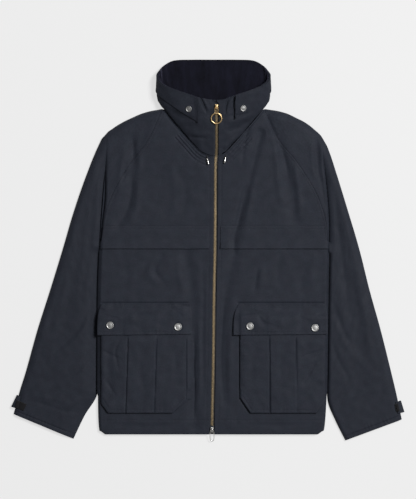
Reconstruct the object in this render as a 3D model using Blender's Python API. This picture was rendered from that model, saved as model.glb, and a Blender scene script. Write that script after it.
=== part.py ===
"""A waterproof jacket with raglan sleeves, laid flat on its back with its front upwards.

All sizes are millimetres, taken as a maker takes them: "out" is the distance from the centre front
towards either side, y goes up from the hem to the collar, and z up from the surface it lies on.
Left and right are the wearer's, so the left side is at +X.
"""

import functools
import math
from collections import namedtuple

import bmesh
import bpy
import numpy as np
from mathutils import Matrix, Vector
from mathutils.bvhtree import BVHTree

# ---------------------------------------------------------------- driving sizes
MM = 0.001
FRAME_X = 12.4          # moves the centre front so that the origin is in the middle of the whole outline
FRAME_Y = -404.7        # moves the hem in the same way

CLOTH = 1.6             # wall of fronts, back and sleeves
COLLAR_CLOTH = 2.0
LINING = 1.2
BAND_CLOTH = 1.8
FLAP_CLOTH = 1.8
POCKET_CLOTH = 2.6      # face and folded gusset together
SEAM = 0.9              # plan gap between two panels at a seam
LIE = 0.35              # gap under a piece that lies on another

BODY_HIGH = 14.0        # outer height of the fronts over the chest and belly
HEM_HIGH = 10.5         # at the hem
HEM_RISE = 70.0         # length over which the front rises from the hem
SLEEVE_HIGH = 13.0
CUFF_HIGH = 10.0
CUFF_RISE = 90.0
NECK_RISE = 5.0         # extra height at the collar seam
NECK_CENTRE_Y = 720.0
NECK_RADIUS = 110.0

SIDE_ROUND = 7.0        # plan width of the rounding at a body side
ARM_ROUND = 17.0        # and at a sleeve's two edges
BACK_IN = 0.993         # the back is this much narrower than the fronts, which turn under at the sides
SIDE_FOOT = 2.1         # height at which a front's side edge meets the back
EDGE_FOOT = 2.0         # height at which the front sleeve's edges meet the back sleeve
CREASE_FOOT = 4.6       # bottom of the crease between chest and arm
CREASE_FADES = (545.0, 655.0)   # y between which that crease rises to nothing

ZIP_HALF = 5.5          # centre of the zip to the edge of the cloth
HEM_LINE_Y = 31.0       # hem's row of stitching
YOKE_LOW_Y = 409.0      # storm flap: free lower edge
YOKE_TOP_Y = 458.0      # storm flap: seam
UNDERARM_Y = 424.0
COLLAR_FRONT_Y = 611.0  # collar seam at the centre front
NECK_BACK_Y = 709.0

SIGN = {"left": 1, "right": -1}

# ---------------------------------------------------------------- tables
Edge = namedtuple("Edge", "y out")
Point = namedtuple("Point", "out y")
Section = namedtuple("Section", "part outer_out outer_y inner_out inner_y")
Station = namedtuple("Station", "seam_out seam_y seam_z rim_out rim_y rim_z")
Fold = namedtuple("Fold", "width depth path")
Pocket = namedtuple("Pocket", "face_in face_out gusset_in pleat_in pleat_out cut_in cut_out flap_in flap_out")

# Side edge of the body, then the crease between chest and arm above the underarm.
SIDE_LINE = {
    "right": [Edge(0, 240), Edge(6, 247), Edge(14, 252.5), Edge(87, 254.8), Edge(296, 253.6), Edge(386, 251),
              Edge(450, 247), Edge(516, 239.5), Edge(582, 237.8), Edge(641, 234), Edge(670, 232)],
    "left": [Edge(0, 231), Edge(6, 238.5), Edge(14, 244.5), Edge(76, 249), Edge(186, 251), Edge(296, 252.2),
             Edge(417, 254.4), Edge(460, 255), Edge(516, 252), Edge(582, 245), Edge(641, 237), Edge(662, 233.5)],
}
RAGLAN = {
    "right": [Point(248, 424), Point(239, 482), Point(218, 537), Point(181, 600), Point(143, 649),
              Point(112, 716)],
    "left": [Point(252, 424), Point(245, 478), Point(223, 537), Point(183, 600), Point(143, 649),
             Point(112, 716)],
}
NECK = [Point(5.5, 611), Point(27, 621), Point(47, 642), Point(68, 666), Point(90, 691), Point(108, 713)]

# Outer and inner end of each section across a sleeve; where it lies along the body, the inner end keeps
# SLEEVE_GAP from the body's side.
SLEEVE = {
    "right": [Section("chest", 112, 717, 249.5, 423), Section("chest", 149, 709.5, 249.9, 418),
              Section("chest", 182, 696.3, 250.3, 413), Section("chest", 208, 683, 250.7, 408),
              Section("chest", 226, 671, 251, 403), Section("crease", 232, 667, 251.3, 400),
              Section("arm", 239, 659, 251.6, 396), Section("arm", 250, 643.5, 252, 386),
              Section("arm", 276, 582, 252.8, 360), Section("arm", 307, 494, 254, 310),
              Section("arm", 333, 406, 255, 250), Section("arm", 360, 318, 255, 190),
              Section("arm", 388, 230, 255, 135), Section("arm", 412.5, 142, 257, 86),
              Section("arm", 428, 92, 284, 41), Section("arm", 441, 43, 309.5, -12)],
    "left": [Section("chest", 112, 717, 253.6, 423), Section("chest", 153, 709.5, 254.4, 418),
             Section("chest", 184, 696.3, 255, 413), Section("chest", 208, 683, 255.2, 408),
             Section("chest", 230, 665, 255.2, 403), Section("crease", 237, 658, 255.1, 400),
             Section("arm", 242, 650, 255.1, 396), Section("arm", 254, 626, 255, 386),
             Section("arm", 271, 575, 254.5, 360), Section("arm", 296, 494, 253.5, 310),
             Section("arm", 322, 406, 252.6, 250), Section("arm", 344, 318, 252, 190),
             Section("arm", 368.5, 230, 251.3, 135), Section("arm", 390.5, 142, 251.3, 75),
             Section("arm", 404, 85, 268, 31), Section("arm", 415.4, 31, 291, -15)],
}
SLEEVE_GAP = 0.9

# Half of the collar, from the zip round to the centre back.
COLLAR = [Station(5.5, 612.6, 19, 5.5, 739, 45), Station(16, 617.3, 19, 18, 739.5, 45.3),
          Station(27, 623.4, 19, 33, 741.5, 45.6), Station(38, 634.4, 19, 48.5, 744.7, 45.6),
          Station(47, 643.9, 19, 62, 749, 45), Station(68, 667.9, 19, 88, 758, 43),
          Station(89, 692.3, 18.6, 108, 767, 39), Station(101, 709, 16, 119.5, 777, 32),
          Station(105.5, 717.5, 10.5, 123.5, 788, 23),
          Station(102, 717.8, 4.6, 120, 800, 14), Station(88, 715, 2.2, 108, 813, 7.5),
          Station(70, 713, 0.6, 86, 823.4, 5), Station(35, 711, 0.4, 45, 825, 4.5),
          Station(0, 710.4, 0.4, 0, 825, 4.4)]
BAND_LOW, BAND_HIGH = 45.0, 2.0     # the band's two edges, down from the rim
# The collar rolls outwards at its sides: share of the height, how far out, and how much of it by station.
ROLL_SHARE = (0.0, 0.08, 0.24, 0.4, 0.68, 1.0)
ROLL_OUT = (0.0, 8.0, 13.0, 12.0, 7.0, 0.0)
ROLL_AT = {5: 0.1, 6: 0.4, 7: 0.8, 8: 1.0, 9: 0.8, 10: 0.3, 11: 0.1}
COLLAR_BULGE = 3.5      # outwards, half way up the front
BAND_ROWS = slice(3, 6)
BAND_START = {"right": 2, "left": 3}            # the station at each of its front ends

ZIP_LINE = [Edge(-5, -3.6), Edge(76, -2), Edge(186, 0), Edge(296, 1.1), Edge(406, 3.3), Edge(516, 4.2),
            Edge(593, 4.6), Edge(626, 6.6), Edge(670, 6.8), Edge(740, 6.2)]

# Soft troughs, from above: width, depth, and the (out, y) points that each one runs through.
FOLDS = {
    "left": [Fold(11, 3.0, [(60, 640), (43, 450), (46, 406), (27, 296), (30, 60)]),
             Fold(24, 2.4, [(122, 690), (150, 560), (166, 470)]),
             Fold(16, 1.6, [(224, 655), (228, 556)]),
             Fold(20, 1.8, [(300, 420), (318, 250), (325, 90)])],
    "right": [Fold(12, 2.2, [(178, 648), (182, 527), (208, 462)]),
              Fold(13, 2.6, [(60, 396), (47, 300), (42, 160), (43, 20)]),
              Fold(18, 1.6, [(282, 520), (300, 380), (330, 240)])],
}

POCKET = {
    "right": Pocket(59.4, 248.6, 11, 127, 190, Point(31, 31), Point(17, 24), 47, 255),
    "left": Pocket(59.0, 247.5, 2.8, 123, 182, Point(21, 31), Point(21, 28), 44, 250.5),
}
POCKET_LOW_Y = 49.5
POCKET_TOP_Y = 262.0
POCKET_LIFT = 3.0       # under side of the face, held off the front by the gusset
POCKET_FOOT = 0.3       # and at the gusset's foot
MOUTH_LIFT = 1.5        # the most at the mouth, under the flap
PLEAT_RAISE = 1.0       # centre panel of the box pleat above the face
GUSSET_LOW = 2.8        # spread of the gusset's foot along the pocket's bottom
CORNER_FADES = 60.0     # height over which the slanted lower corners fade
CORNER_MOST = 34.0
POCKET_REACH = 7.0      # a pocket clears the highest places of the front this near to it
FLAP_REACH = 8.0
FLAP_LOW_Y = 220.0
FLAP_TOP_Y = 288.0
FLAP_RISE = {"left": 2.0, "right": -2.5}        # of a flap's lower edge towards the side
FLAP_CORNER = {"left": (12, 3), "right": (4, 9)}    # how far its upper corners are drawn in, at both ends
FLAP_DROOP = 1.3        # how far a storm flap's free edge stands off, and its next row

SNAP_R = 8.2
COLLAR_SNAP_R = 6.6
SNAP_HIGH = 2.4
POCKET_SNAPS = {"right": [Point(228.4, 241), Point(78, 237)], "left": [Point(80.3, 238.5), Point(222.9, 235)]}
COLLAR_SNAPS = {"right": Point(54, 717.5), "left": Point(65, 718)}

CORD_R = 1.1
TIP_R = 1.9
TIP_LONG = 13.5
EYELET_R = 2.7
EYELET_Z = 18.5
EYELETS = {"right": Point(-14.3, 611.6), "left": Point(27.5, 614.5)}
Bend = namedtuple("Bend", "ahead z")
# A drawcord from inside the neck, up through its eyelet: distance above the eyelet, and height.
CORD_ROUTE = [Bend(32, 11.5), Bend(18, 11.8), Bend(9, 12.5), Bend(4.6, 14.4), Bend(0.4, 18.4), Bend(-2.6, 20.9),
              Bend(-4.4, 21.3)]
TAB_ENDS = {"right": [(-437, 60.5), (-418, 52), (-411, 67), (-433, 76)],
            "left": [(402, 49.5), (409.5, 52), (405.5, 68.5), (398.5, 66)]}
TAB_THICK = 1.8
TAB_LOOPS = {"right": [(-437.5, 58.5), (-430, 85.5)], "left": [(412.4, 47.5), (407, 73)]}
LOOP_SPREAD = {"right": (1.05, 0.35), "left": (1.0, 0.7)}      # share of the bend at a loop's low and high end
# Across a loop, from on top of the sleeve round and down beside it: past the sleeve's edge, and up.
LOOP_BEND = [(-6.0, 10.8), (-2.0, 11.0), (2.4, 10.3), (6.0, 8.4), (7.6, 5.4), (6.4, 2.8), (3.2, 1.7)]
LOOP_CLOTH = 1.8

Colour = namedtuple("Colour", "rgb roughness metallic")
MATERIALS = {
    "shell": Colour((0.026, 0.030, 0.041), 0.78, 0.0),
    "lining": Colour((0.008, 0.008, 0.014), 0.95, 0.0),
    "tape": Colour((0.012, 0.014, 0.020), 0.9, 0.0),
    "tab": Colour((0.006, 0.006, 0.008), 0.8, 0.0),
    "cord": Colour((0.006, 0.006, 0.009), 0.7, 0.0),
    "brass": Colour((0.32, 0.23, 0.12), 0.35, 1.0),
    "nickel": Colour((0.62, 0.60, 0.56), 0.28, 1.0),
    "snap_metal": Colour((0.25, 0.25, 0.24), 0.38, 1.0),
}


# ---------------------------------------------------------------- small helpers
def clear_scene():
    for item in list(bpy.data.objects):
        bpy.data.objects.remove(item)


def material(name):
    found = bpy.data.materials.get(name)
    if found:
        return found
    made = bpy.data.materials.new(name)
    made.use_nodes = True
    shader = made.node_tree.nodes["Principled BSDF"]
    colour = MATERIALS[name]
    shader.inputs["Base Color"].default_value = (*colour.rgb, 1.0)
    shader.inputs["Roughness"].default_value = colour.roughness
    shader.inputs["Metallic"].default_value = colour.metallic
    return made


def place(points):
    """Garment millimetres to metres in the frame."""
    points = np.asarray(points, float)
    return (points + np.array([FRAME_X, FRAME_Y, 0.0])) * MM


def spline(rows, count):
    """count points along a smooth curve through rows, evenly spaced by its length."""
    rows = np.asarray(rows, float)
    padded = np.vstack([2 * rows[0] - rows[1], rows, 2 * rows[-1] - rows[-2]])
    fine = []
    for a, b, c, d in zip(padded, padded[1:], padded[2:], padded[3:]):
        for t in np.linspace(0, 1, 12, endpoint=False):
            bend = (2 * a - 5 * b + 4 * c - d) * t**2 + (3 * b - a - 3 * c + d) * t**3
            fine.append(0.5 * (2 * b + (c - a) * t + bend))
    fine = np.array([*fine, rows[-1]])
    length = np.concatenate([[0], np.cumsum(np.linalg.norm(np.diff(fine, axis=0), axis=1))])
    at = np.linspace(0, length[-1], count)
    return np.stack([np.interp(at, length, fine[:, k]) for k in range(fine.shape[1])], axis=1)


@functools.cache
def line_curve(rows):
    return spline([(row.y, row.out) for row in rows], 240)


def line_out(rows, y):
    """A side line's distance out at the height y."""
    curve = line_curve(tuple(rows))
    return np.interp(y, curve[:, 0], curve[:, 1])


def ease(t):
    t = np.clip(t, 0.0, 1.0)
    return t * t * (3 - 2 * t)


def quarter_round(distance, radius):
    """0 at an edge, rising like a quarter circle to 1 at radius."""
    t = np.clip(np.asarray(distance) / radius, 0.0, 1.0)
    return np.sqrt(1 - (1 - t) ** 2)


def distance_to(path, out, y):
    """Plan distance of points from a line of (out, y) points."""
    best = np.full(np.shape(out), 1e9)
    for a, b in zip(path, path[1:]):
        ax, ay, bx, by = *a, *b
        dx, dy = bx - ax, by - ay
        t = np.clip(((out - ax) * dx + (y - ay) * dy) / (dx * dx + dy * dy), 0, 1)
        best = np.minimum(best, np.hypot(out - ax - t * dx, y - ay - t * dy))
    return best


# ---------------------------------------------------------------- the cloth's heights
def zip_x(y):
    return line_out(ZIP_LINE, y)


def body_high(out, y):
    """Height of the fronts with no folds, edges left off."""
    hem = HEM_HIGH + (BODY_HIGH - HEM_HIGH) * quarter_round(y, HEM_RISE)
    from_neck = np.hypot(out, y - NECK_CENTRE_Y)
    return hem + NECK_RISE * ease((2 * NECK_RADIUS - from_neck) / NECK_RADIUS)


def fold_depth(side, out, y):
    depth = np.zeros(np.shape(out))
    for fold in FOLDS[side]:
        path = spline(fold.path, 10)
        away = distance_to(path, out, y)
        depth = np.maximum(depth, fold.depth * np.exp(-((away / fold.width) ** 2)))
    return depth


def crease_foot(y):
    low, high = CREASE_FADES
    return CREASE_FOOT + (BODY_HIGH - CREASE_FOOT) * ease((y - low) / (high - low))


def front_height(side, out, y):
    """Outer surface of a front, and of the chest part of a sleeve."""
    out, y = np.asarray(out, float), np.asarray(y, float)
    high = body_high(out, y) - fold_depth(side, out, y)
    away = np.abs(line_out(SIDE_LINE[side], y) - out)
    foot = np.where(y < UNDERARM_Y, SIDE_FOOT, crease_foot(y))
    foot = np.minimum(foot, high)
    return outer_rounding(side, out, y, foot + (high - foot) * quarter_round(away, SIDE_ROUND))


def outer_line(side):
    return [(row.outer_out, row.outer_y) for row in SLEEVE[side]]


@functools.cache
def inner_line(side):
    return [tuple(inner) for part, _, inner in sleeve_rings(side) if part == "arm"]


def arm_height(side, out, y):
    """Outer surface of a sleeve beyond the crease."""
    along = ease((outer_line(side)[-1][1] + CUFF_RISE * 1.3 - y) / (CUFF_RISE * 1.6))
    high = SLEEVE_HIGH + (CUFF_HIGH - SLEEVE_HIGH) * along - fold_depth(side, out, y)
    crease = [(line_out(SIDE_LINE[side], v), v) for v in np.linspace(660, UNDERARM_Y, 8)]
    foot = np.minimum(crease_foot(y), high)
    from_crease = foot + (high - foot) * quarter_round(distance_to(crease, out, y), ARM_ROUND)
    inner = quarter_round(distance_to(inner_line(side), out, y), ARM_ROUND)
    from_inner = EDGE_FOOT + (high - EDGE_FOOT) * inner
    return outer_rounding(side, out, y, np.minimum(from_crease, from_inner))


def outer_rounding(side, out, y, high):
    """Brings a sleeve's height down to its outer edge."""
    away = distance_to(outer_line(side), out, y)
    return EDGE_FOOT + (high - EDGE_FOOT) * quarter_round(away, ARM_ROUND)


# ---------------------------------------------------------------- meshes from grids of points
def grid_normals(grid):
    """Unit normals of a grid of points, to the side that its columns times its rows gives."""
    normal = np.cross(np.gradient(grid, axis=1), np.gradient(grid, axis=0))
    return normal / np.maximum(np.linalg.norm(normal, axis=2, keepdims=True), 1e-9)


def moved_out(grid, distance):
    return grid + grid_normals(grid) * distance


def mesh_object(name, points, faces, finish):
    mesh = bpy.data.meshes.new(name)
    mesh.from_pydata([Vector(p) for p in place(points)], [], faces)
    mesh.validate()
    made = bpy.data.objects.new(name, mesh)
    bpy.context.scene.collection.objects.link(made)
    mesh.materials.append(material(finish))
    mesh.shade_smooth()
    mesh.set_sharp_from_angle(angle=math.radians(40))
    return made


def wall(name, outer, inner, finish):
    """A closed wall of cloth between two grids of the same shape, each (rows, columns, 3)."""
    rows, columns = outer.shape[:2]
    points = np.concatenate([outer.reshape(-1, 3), inner.reshape(-1, 3)])

    def at(layer, row, column):
        return (layer * rows + row) * columns + column

    faces = []
    for r in range(rows - 1):
        for c in range(columns - 1):
            faces.append((at(0, r, c), at(0, r, c + 1), at(0, r + 1, c + 1), at(0, r + 1, c)))
            faces.append((at(1, r, c), at(1, r + 1, c), at(1, r + 1, c + 1), at(1, r, c + 1)))
    last_row, last_column = rows - 1, columns - 1
    for c in range(last_column):
        faces.append((at(0, 0, c), at(1, 0, c), at(1, 0, c + 1), at(0, 0, c + 1)))
        faces.append((at(0, last_row, c), at(0, last_row, c + 1), at(1, last_row, c + 1), at(1, last_row, c)))
    for r in range(last_row):
        faces.append((at(0, r, 0), at(0, r + 1, 0), at(1, r + 1, 0), at(1, r, 0)))
        faces.append((at(0, r, last_column), at(1, r, last_column), at(1, r + 1, last_column),
                      at(0, r + 1, last_column)))
    return mesh_object(name, points, faces, finish)


def cloth(name, grid, thickness, finish):
    """Cloth whose outer side is the grid and whose wall goes inwards."""
    return wall(name, grid, moved_out(grid, -thickness), finish)


def laid_cloth(name, grid, thickness, finish):
    """Cloth whose under side is the grid, so that it lies on what the grid was made from."""
    return wall(name, moved_out(grid, thickness), grid, finish)


def signed(grid, side):
    """Turns (out, y, z) points into (x, y, z), keeping the columns running towards +X."""
    made = np.array(grid, float)
    made[..., 0] *= SIGN[side]
    return made if side == "left" else made[:, ::-1]


# ---------------------------------------------------------------- body
FRONT_ROWS_Y = [0, 6, 16, HEM_LINE_Y, 52, 80, 115, 150, 185, 222, 258, 292, 330, 370, YOKE_LOW_Y, 433,
                YOKE_TOP_Y]
FRONT_UPPER_ROWS = 15
FRONT_COLUMNS = [0, 0.026, 0.06, 0.115, 0.19, 0.28, 0.38, 0.48, 0.58, 0.68, 0.78, 0.87, 0.935, 0.967, 0.98, 0.99,
                 0.9965, 1.0]
FLAP_ENDS = 1, 15       # the columns between which a storm flap lies


def front_edges(side):
    """The centre edge and the side edge of a front, row by row, as (out, y)."""
    sign = SIGN[side]
    centre = [(ZIP_HALF + sign * zip_x(y), y) for y in FRONT_ROWS_Y]
    outside = [(float(line_out(SIDE_LINE[side], y)) if y <= YOKE_LOW_Y else None, y) for y in FRONT_ROWS_Y]
    seam = spline(RAGLAN[side], 60)
    outside = [(np.interp(y, seam[:, 1], seam[:, 0]) if out is None else out, y) for out, y in outside]
    first_neck = (ZIP_HALF + sign * zip_x(COLLAR_FRONT_Y), COLLAR_FRONT_Y)
    half_way = (ZIP_HALF + sign * zip_x(530), 530)
    to_neck = spline([centre[-1], half_way, first_neck], FRONT_UPPER_ROWS - 8 + 1)[1:]
    upper_centre = np.array([*to_neck, *spline([first_neck, *[tuple(p) for p in NECK[1:]]], 9)[1:]])
    above = [tuple(p) for p in seam[seam[:, 1] > YOKE_TOP_Y + 15][::4]]
    upper_seam = [outside[-1], *above, tuple(RAGLAN[side][-1])]
    upper_seam = spline(upper_seam, FRONT_UPPER_ROWS + 1)[1:]
    return np.array([*centre, *upper_centre]), np.array([*outside, *upper_seam])


def front_grid(side):
    centre, outside = front_edges(side)
    share = np.array(FRONT_COLUMNS)[None, :, None]
    plan = centre[:, None, :] * (1 - share) + outside[:, None, :] * share
    high = front_height(side, plan[..., 0], plan[..., 1])
    return signed(np.dstack([plan, high]), side)


def make_front(side):
    grid = front_grid(side)
    cloth(f"front_{side}", grid, CLOTH, "shell")
    return grid


def make_storm_flap(side, front):
    """A flap sewn in above and free below, made from the front's own points, moved out."""
    low, top = FRONT_ROWS_Y.index(YOKE_LOW_Y), FRONT_ROWS_Y.index(YOKE_TOP_Y)
    first, last = FLAP_ENDS
    if side == "right":
        first, last = len(FRONT_COLUMNS) - last, len(FRONT_COLUMNS) - first
    grid = moved_out(front, LIE)[low:top + 1, first:last]
    grid[0, :, 2] += FLAP_DROOP
    grid[1, :, 2] += FLAP_DROOP * 0.4
    laid_cloth(f"storm_flap_{side}", grid, FLAP_CLOTH, "shell")


def make_back():
    """The back lies flat on the surface, from the hem to the collar seam."""
    _, left = front_edges("left")
    _, right = front_edges("right")
    rows = []
    for index, (a, b) in enumerate(zip(right, left)):
        share = np.linspace(0, 1, 7)
        x = (-a[0] + share * (a[0] + b[0])) * BACK_IN
        climb = ease((index - len(left) + 7) / 6)
        dip = (RAGLAN["left"][-1].y - NECK_BACK_Y) * climb * (1 - (x / 112.0) ** 2)
        rows.append(np.stack([x, a[1] + share * (b[1] - a[1]) - np.maximum(dip, 0), np.zeros(7)], axis=1))
    under = np.array(rows)
    over = under + np.array([0, 0, CLOTH])
    wall("back", over, under, "shell")


# ---------------------------------------------------------------- sleeves
TOP_SHARES = [0, 0.012, 0.04, 0.09, 0.17, 0.28, 0.40, 0.52, 0.64, 0.76, 0.86, 0.93, 0.97, 0.992, 1.0]
UNDER_SHARES = [0.006, 0.17, 0.34, 0.5, 0.66, 0.83, 0.994]
RINGS_BETWEEN = {"chest": 2, "crease": 1, "arm": 2}


@functools.cache
def sleeve_rings(side):
    """Rings between the table's sections, as (part, outer point, inner point)."""
    rows, rings = SLEEVE[side], []
    for part, run in (("chest", rows[:5]), ("crease", rows[5:6]), ("arm", rows[6:])):
        if len(run) == 1:
            ends = np.array([run[0][1:]], float)
        else:
            ends = spline([row[1:] for row in run], (len(run) - 1) * RINGS_BETWEEN[part] + 1)
        if part != "chest":
            ends[:, 2] = np.maximum(ends[:, 2], line_out(SIDE_LINE[side], ends[:, 3]) + SLEEVE_GAP)
        rings += [(part, end[:2], end[2:]) for end in ends]
    return rings


def ring_plan(side, number, outer, inner, share):
    """A ring's points in plan: straight, but for the first ones, which follow the raglan seam."""
    straight = outer[None] * (1 - share[:, None]) + inner[None] * share[:, None]
    seam = spline(RAGLAN[side][::-1], 60)
    along = np.linspace(0, 1, len(seam))
    on_seam = np.stack([np.interp(share, along, seam[:, k]) for k in range(2)], axis=1)
    chord = seam[:1] * (1 - share[:, None]) + seam[-1:] * share[:, None]
    if number == 0:
        course = np.gradient(seam, axis=0)
        beside = np.stack([-course[:, 1], course[:, 0]], axis=1) / np.linalg.norm(course, axis=1, keepdims=True)
        on_seam += SEAM * np.stack([np.interp(share, along, beside[:, k]) for k in range(2)], axis=1)
        return on_seam
    return straight + (on_seam - chord) * max(0.0, 1 - number / 9.0)


def make_sleeve(side):
    """Two pieces: the front sleeve arches over the back one, which lies flat on the surface."""
    top, under = np.array(TOP_SHARES), np.array(UNDER_SHARES)
    outside, inside, below = [], [], []
    for number, (part, outer, inner) in enumerate(sleeve_rings(side)):
        plan = ring_plan(side, number, outer, inner, top)
        height = arm_height if part == "arm" else front_height
        high = height(side, plan[:, 0], plan[:, 1])
        high[0] = high[-1] = EDGE_FOOT
        draw = CLOTH / np.linalg.norm(plan[-1] - plan[0])
        outside.append(np.column_stack([plan, high]))
        inside.append(np.column_stack([ring_in(plan, top, draw), np.maximum(high - CLOTH, EDGE_FOOT)]))
        flat = ring_plan(side, number, outer, inner, under)
        below.append(np.column_stack([flat, np.zeros(len(under))]))
    outside, inside, below = (signed(np.array(rows), side) for rows in (outside, inside, below))
    wall(f"sleeve_front_{side}", outside, inside, "shell")
    wall(f"sleeve_back_{side}", below + [0, 0, CLOTH], below, "shell")


def ring_in(plan, share, draw):
    """A ring's plan points moved towards its middle by the share called draw at both ends."""
    across = plan[np.argmax(share)] - plan[np.argmin(share)]
    return plan + across[None] * draw * (1 - 2 * share[:, None])


# ---------------------------------------------------------------- collar
def collar_grid():
    """Rows from the seam to the rim, columns from the wearer's left of the zip round the back to the right."""
    halves = {}
    for side, sign in SIGN.items():
        columns = []
        for number, row in enumerate(COLLAR):
            beside_zip = sign if number < 2 else 0.0
            moved = float(beside_zip * zip_x(row.seam_y))
            climb = number * moved * (0.55 if moved > 0 else 0.3)
            seam = np.array([row.seam_out + moved, row.seam_y + climb, row.seam_z])
            rim = np.array([row.rim_out + beside_zip * zip_x(row.rim_y), row.rim_y, row.rim_z])
            low, high = (1 - down / np.linalg.norm(rim - seam) for down in (BAND_LOW, BAND_HIGH))
            share = np.array([0, low * 0.2, low * 0.6, low, (low + high) / 2, high, 1])[:, None]
            column = seam * (1 - share) + rim * share
            column[:, 2] += COLLAR_BULGE * np.sin(math.pi * share[:, 0]) * np.clip((9 - number) / 4.0, 0, 1)
            column[:, 0] += ROLL_AT.get(number, 0.0) * np.interp(share[:, 0], ROLL_SHARE, ROLL_OUT)
            columns.append(column * [sign, 1, 1])
        halves[side] = columns
    return np.stack([*halves["left"], *halves["right"][-2::-1]], axis=1)


def make_collar():
    """Its wall, the lining inside it, and the band around its upper part."""
    outer = collar_grid()
    inner = moved_out(outer, -COLLAR_CLOTH)
    wall("collar", outer, inner, "shell")
    facing = moved_out(outer, -COLLAR_CLOTH - LIE)[:, 1:-1]
    wall("collar_lining", facing, moved_out(outer, -COLLAR_CLOTH - LIE - LINING)[:, 1:-1], "lining")
    last = outer.shape[1] - 1
    under = moved_out(outer, LIE)[BAND_ROWS, BAND_START["left"]:last - BAND_START["right"] + 1]
    laid_cloth("collar_band", under, BAND_CLOTH, "shell")


# ---------------------------------------------------------------- pieces that lie on others
def tree_of(names):
    """A ray caster over pieces already made, in garment millimetres."""
    points, faces = [], []
    for name in names:
        mesh = bpy.data.objects[name].data
        start = len(points)
        points += [v.co / MM - Vector((FRAME_X, FRAME_Y, 0.0)) for v in mesh.vertices]
        faces += [[start + k for k in p.vertices] for p in mesh.polygons]
    return BVHTree.FromPolygons(points, faces)


def top_of(tree, x, y):
    hit = tree.ray_cast(Vector((x, y, 90.0)), Vector((0, 0, -1)))
    return hit[0].z if hit[0] is not None else 0.0


def lie_on(names, plan, reach):
    """Points just above the pieces at plan, clear of their highest places within reach."""
    tree = tree_of(names)
    around = [(0, 0), (reach, 0), (-reach, 0), (0, reach), (0, -reach), (reach, reach), (-reach, reach),
              (reach, -reach), (-reach, -reach)]
    made = np.zeros((*plan.shape[:2], 3))
    for row in range(plan.shape[0]):
        for column in range(plan.shape[1]):
            x, y = plan[row, column]
            high = max(top_of(tree, x + dx * part, y + dy * part) for dx, dy in around for part in (0.5, 1.0))
            made[row, column] = (x, y, high + LIE)
    return made


def raised(grid, amount):
    made = grid.copy()
    made[..., 2] += amount
    return made


def make_pocket(side):
    """A bellows pocket: a face held off the front by a folded gusset, with a box pleat down its middle."""
    pocket = POCKET[side]
    face, pleat = POCKET_LIFT, POCKET_LIFT + PLEAT_RAISE
    across = [(pocket.face_in - pocket.gusset_in, POCKET_FOOT),
              (pocket.face_in - pocket.gusset_in * 0.4, face * 0.6), (pocket.face_in, face),
              (pocket.face_in + 9, face), (pocket.face_in + 35, face),
              (pocket.pleat_in - 12, face), (pocket.pleat_in - 0.8, face), (pocket.pleat_in + 1.6, pleat),
              ((pocket.pleat_in + pocket.pleat_out) / 2, pleat), (pocket.pleat_out - 1.6, pleat),
              (pocket.pleat_out + 0.8, face), (pocket.pleat_out + 12, face), (pocket.face_out - 30, face),
              (pocket.face_out - 10, face), (pocket.face_out - 4, face - 0.4),
              (pocket.face_out - 1.5, POCKET_FOOT)]
    ys = [POCKET_LOW_Y - GUSSET_LOW, POCKET_LOW_Y, POCKET_LOW_Y + 9, 80, 110, 140, 170, 200, 228, 248,
          POCKET_TOP_Y]
    plan = np.zeros((len(ys), len(across), 2))
    lift = np.zeros(plan.shape[:2])
    for r, y in enumerate(ys):
        most = {0: POCKET_FOOT, len(ys) - 1: MOUTH_LIFT}.get(r, pleat)
        for c, (out, high) in enumerate(across):
            cut_in = max(0.0, pocket.cut_in.y * (1 - (out - pocket.face_in) / pocket.cut_in.out))
            cut_out = max(0.0, pocket.cut_out.y * (1 - (pocket.face_out - out) / pocket.cut_out.out))
            fade = min(max(0.0, 1 - (y - POCKET_LOW_Y) / CORNER_FADES), 1.0)
            plan[r, c] = (SIGN[side] * out, y + min(max(cut_in, cut_out), CORNER_MOST) * fade)
            lift[r, c] = min(high, most)
    if side == "right":
        plan, lift = plan[:, ::-1], lift[:, ::-1]
    under = lie_on([f"front_{side}"], plan, POCKET_REACH)
    under[..., 2] += lift
    wall(f"pocket_{side}", raised(under, POCKET_CLOTH), under, "shell")


def make_pocket_flap(side):
    """Sewn along its upper edge, with rounded upper corners, over the pocket's mouth."""
    pocket = POCKET[side]
    width = pocket.flap_out - pocket.flap_in
    pleat_in, pleat_out = pocket.pleat_in - pocket.flap_in, pocket.pleat_out - pocket.flap_in
    outs = [0, 5, 10, 16, 40, pleat_in - 14, pleat_in - 4, (pleat_in + pleat_out) / 2, pleat_out + 4,
            pleat_out + 14, width - 26, width - 12, width - 7, width - 3, width]
    ys = [FLAP_LOW_Y, FLAP_LOW_Y + 9, 238, 250, 259, 265, 272, 280, FLAP_TOP_Y]
    plan = np.zeros((len(ys), len(outs), 2))
    for r, y in enumerate(ys):
        share = (y - FLAP_LOW_Y) / (FLAP_TOP_Y - FLAP_LOW_Y)
        low, high = (drawn * share**4 for drawn in FLAP_CORNER[side])
        for c, out in enumerate(outs):
            across = out / width
            plan[r, c] = (SIGN[side] * (pocket.flap_in + low + across * (width - low - high)),
                          y + FLAP_RISE[side] * (1 - share) * (across - 0.5))
    if side == "right":
        plan = plan[:, ::-1]
    under = lie_on([f"front_{side}", f"pocket_{side}"], plan, FLAP_REACH)
    wall(f"pocket_flap_{side}", raised(under, FLAP_CLOTH), under, "shell")


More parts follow.
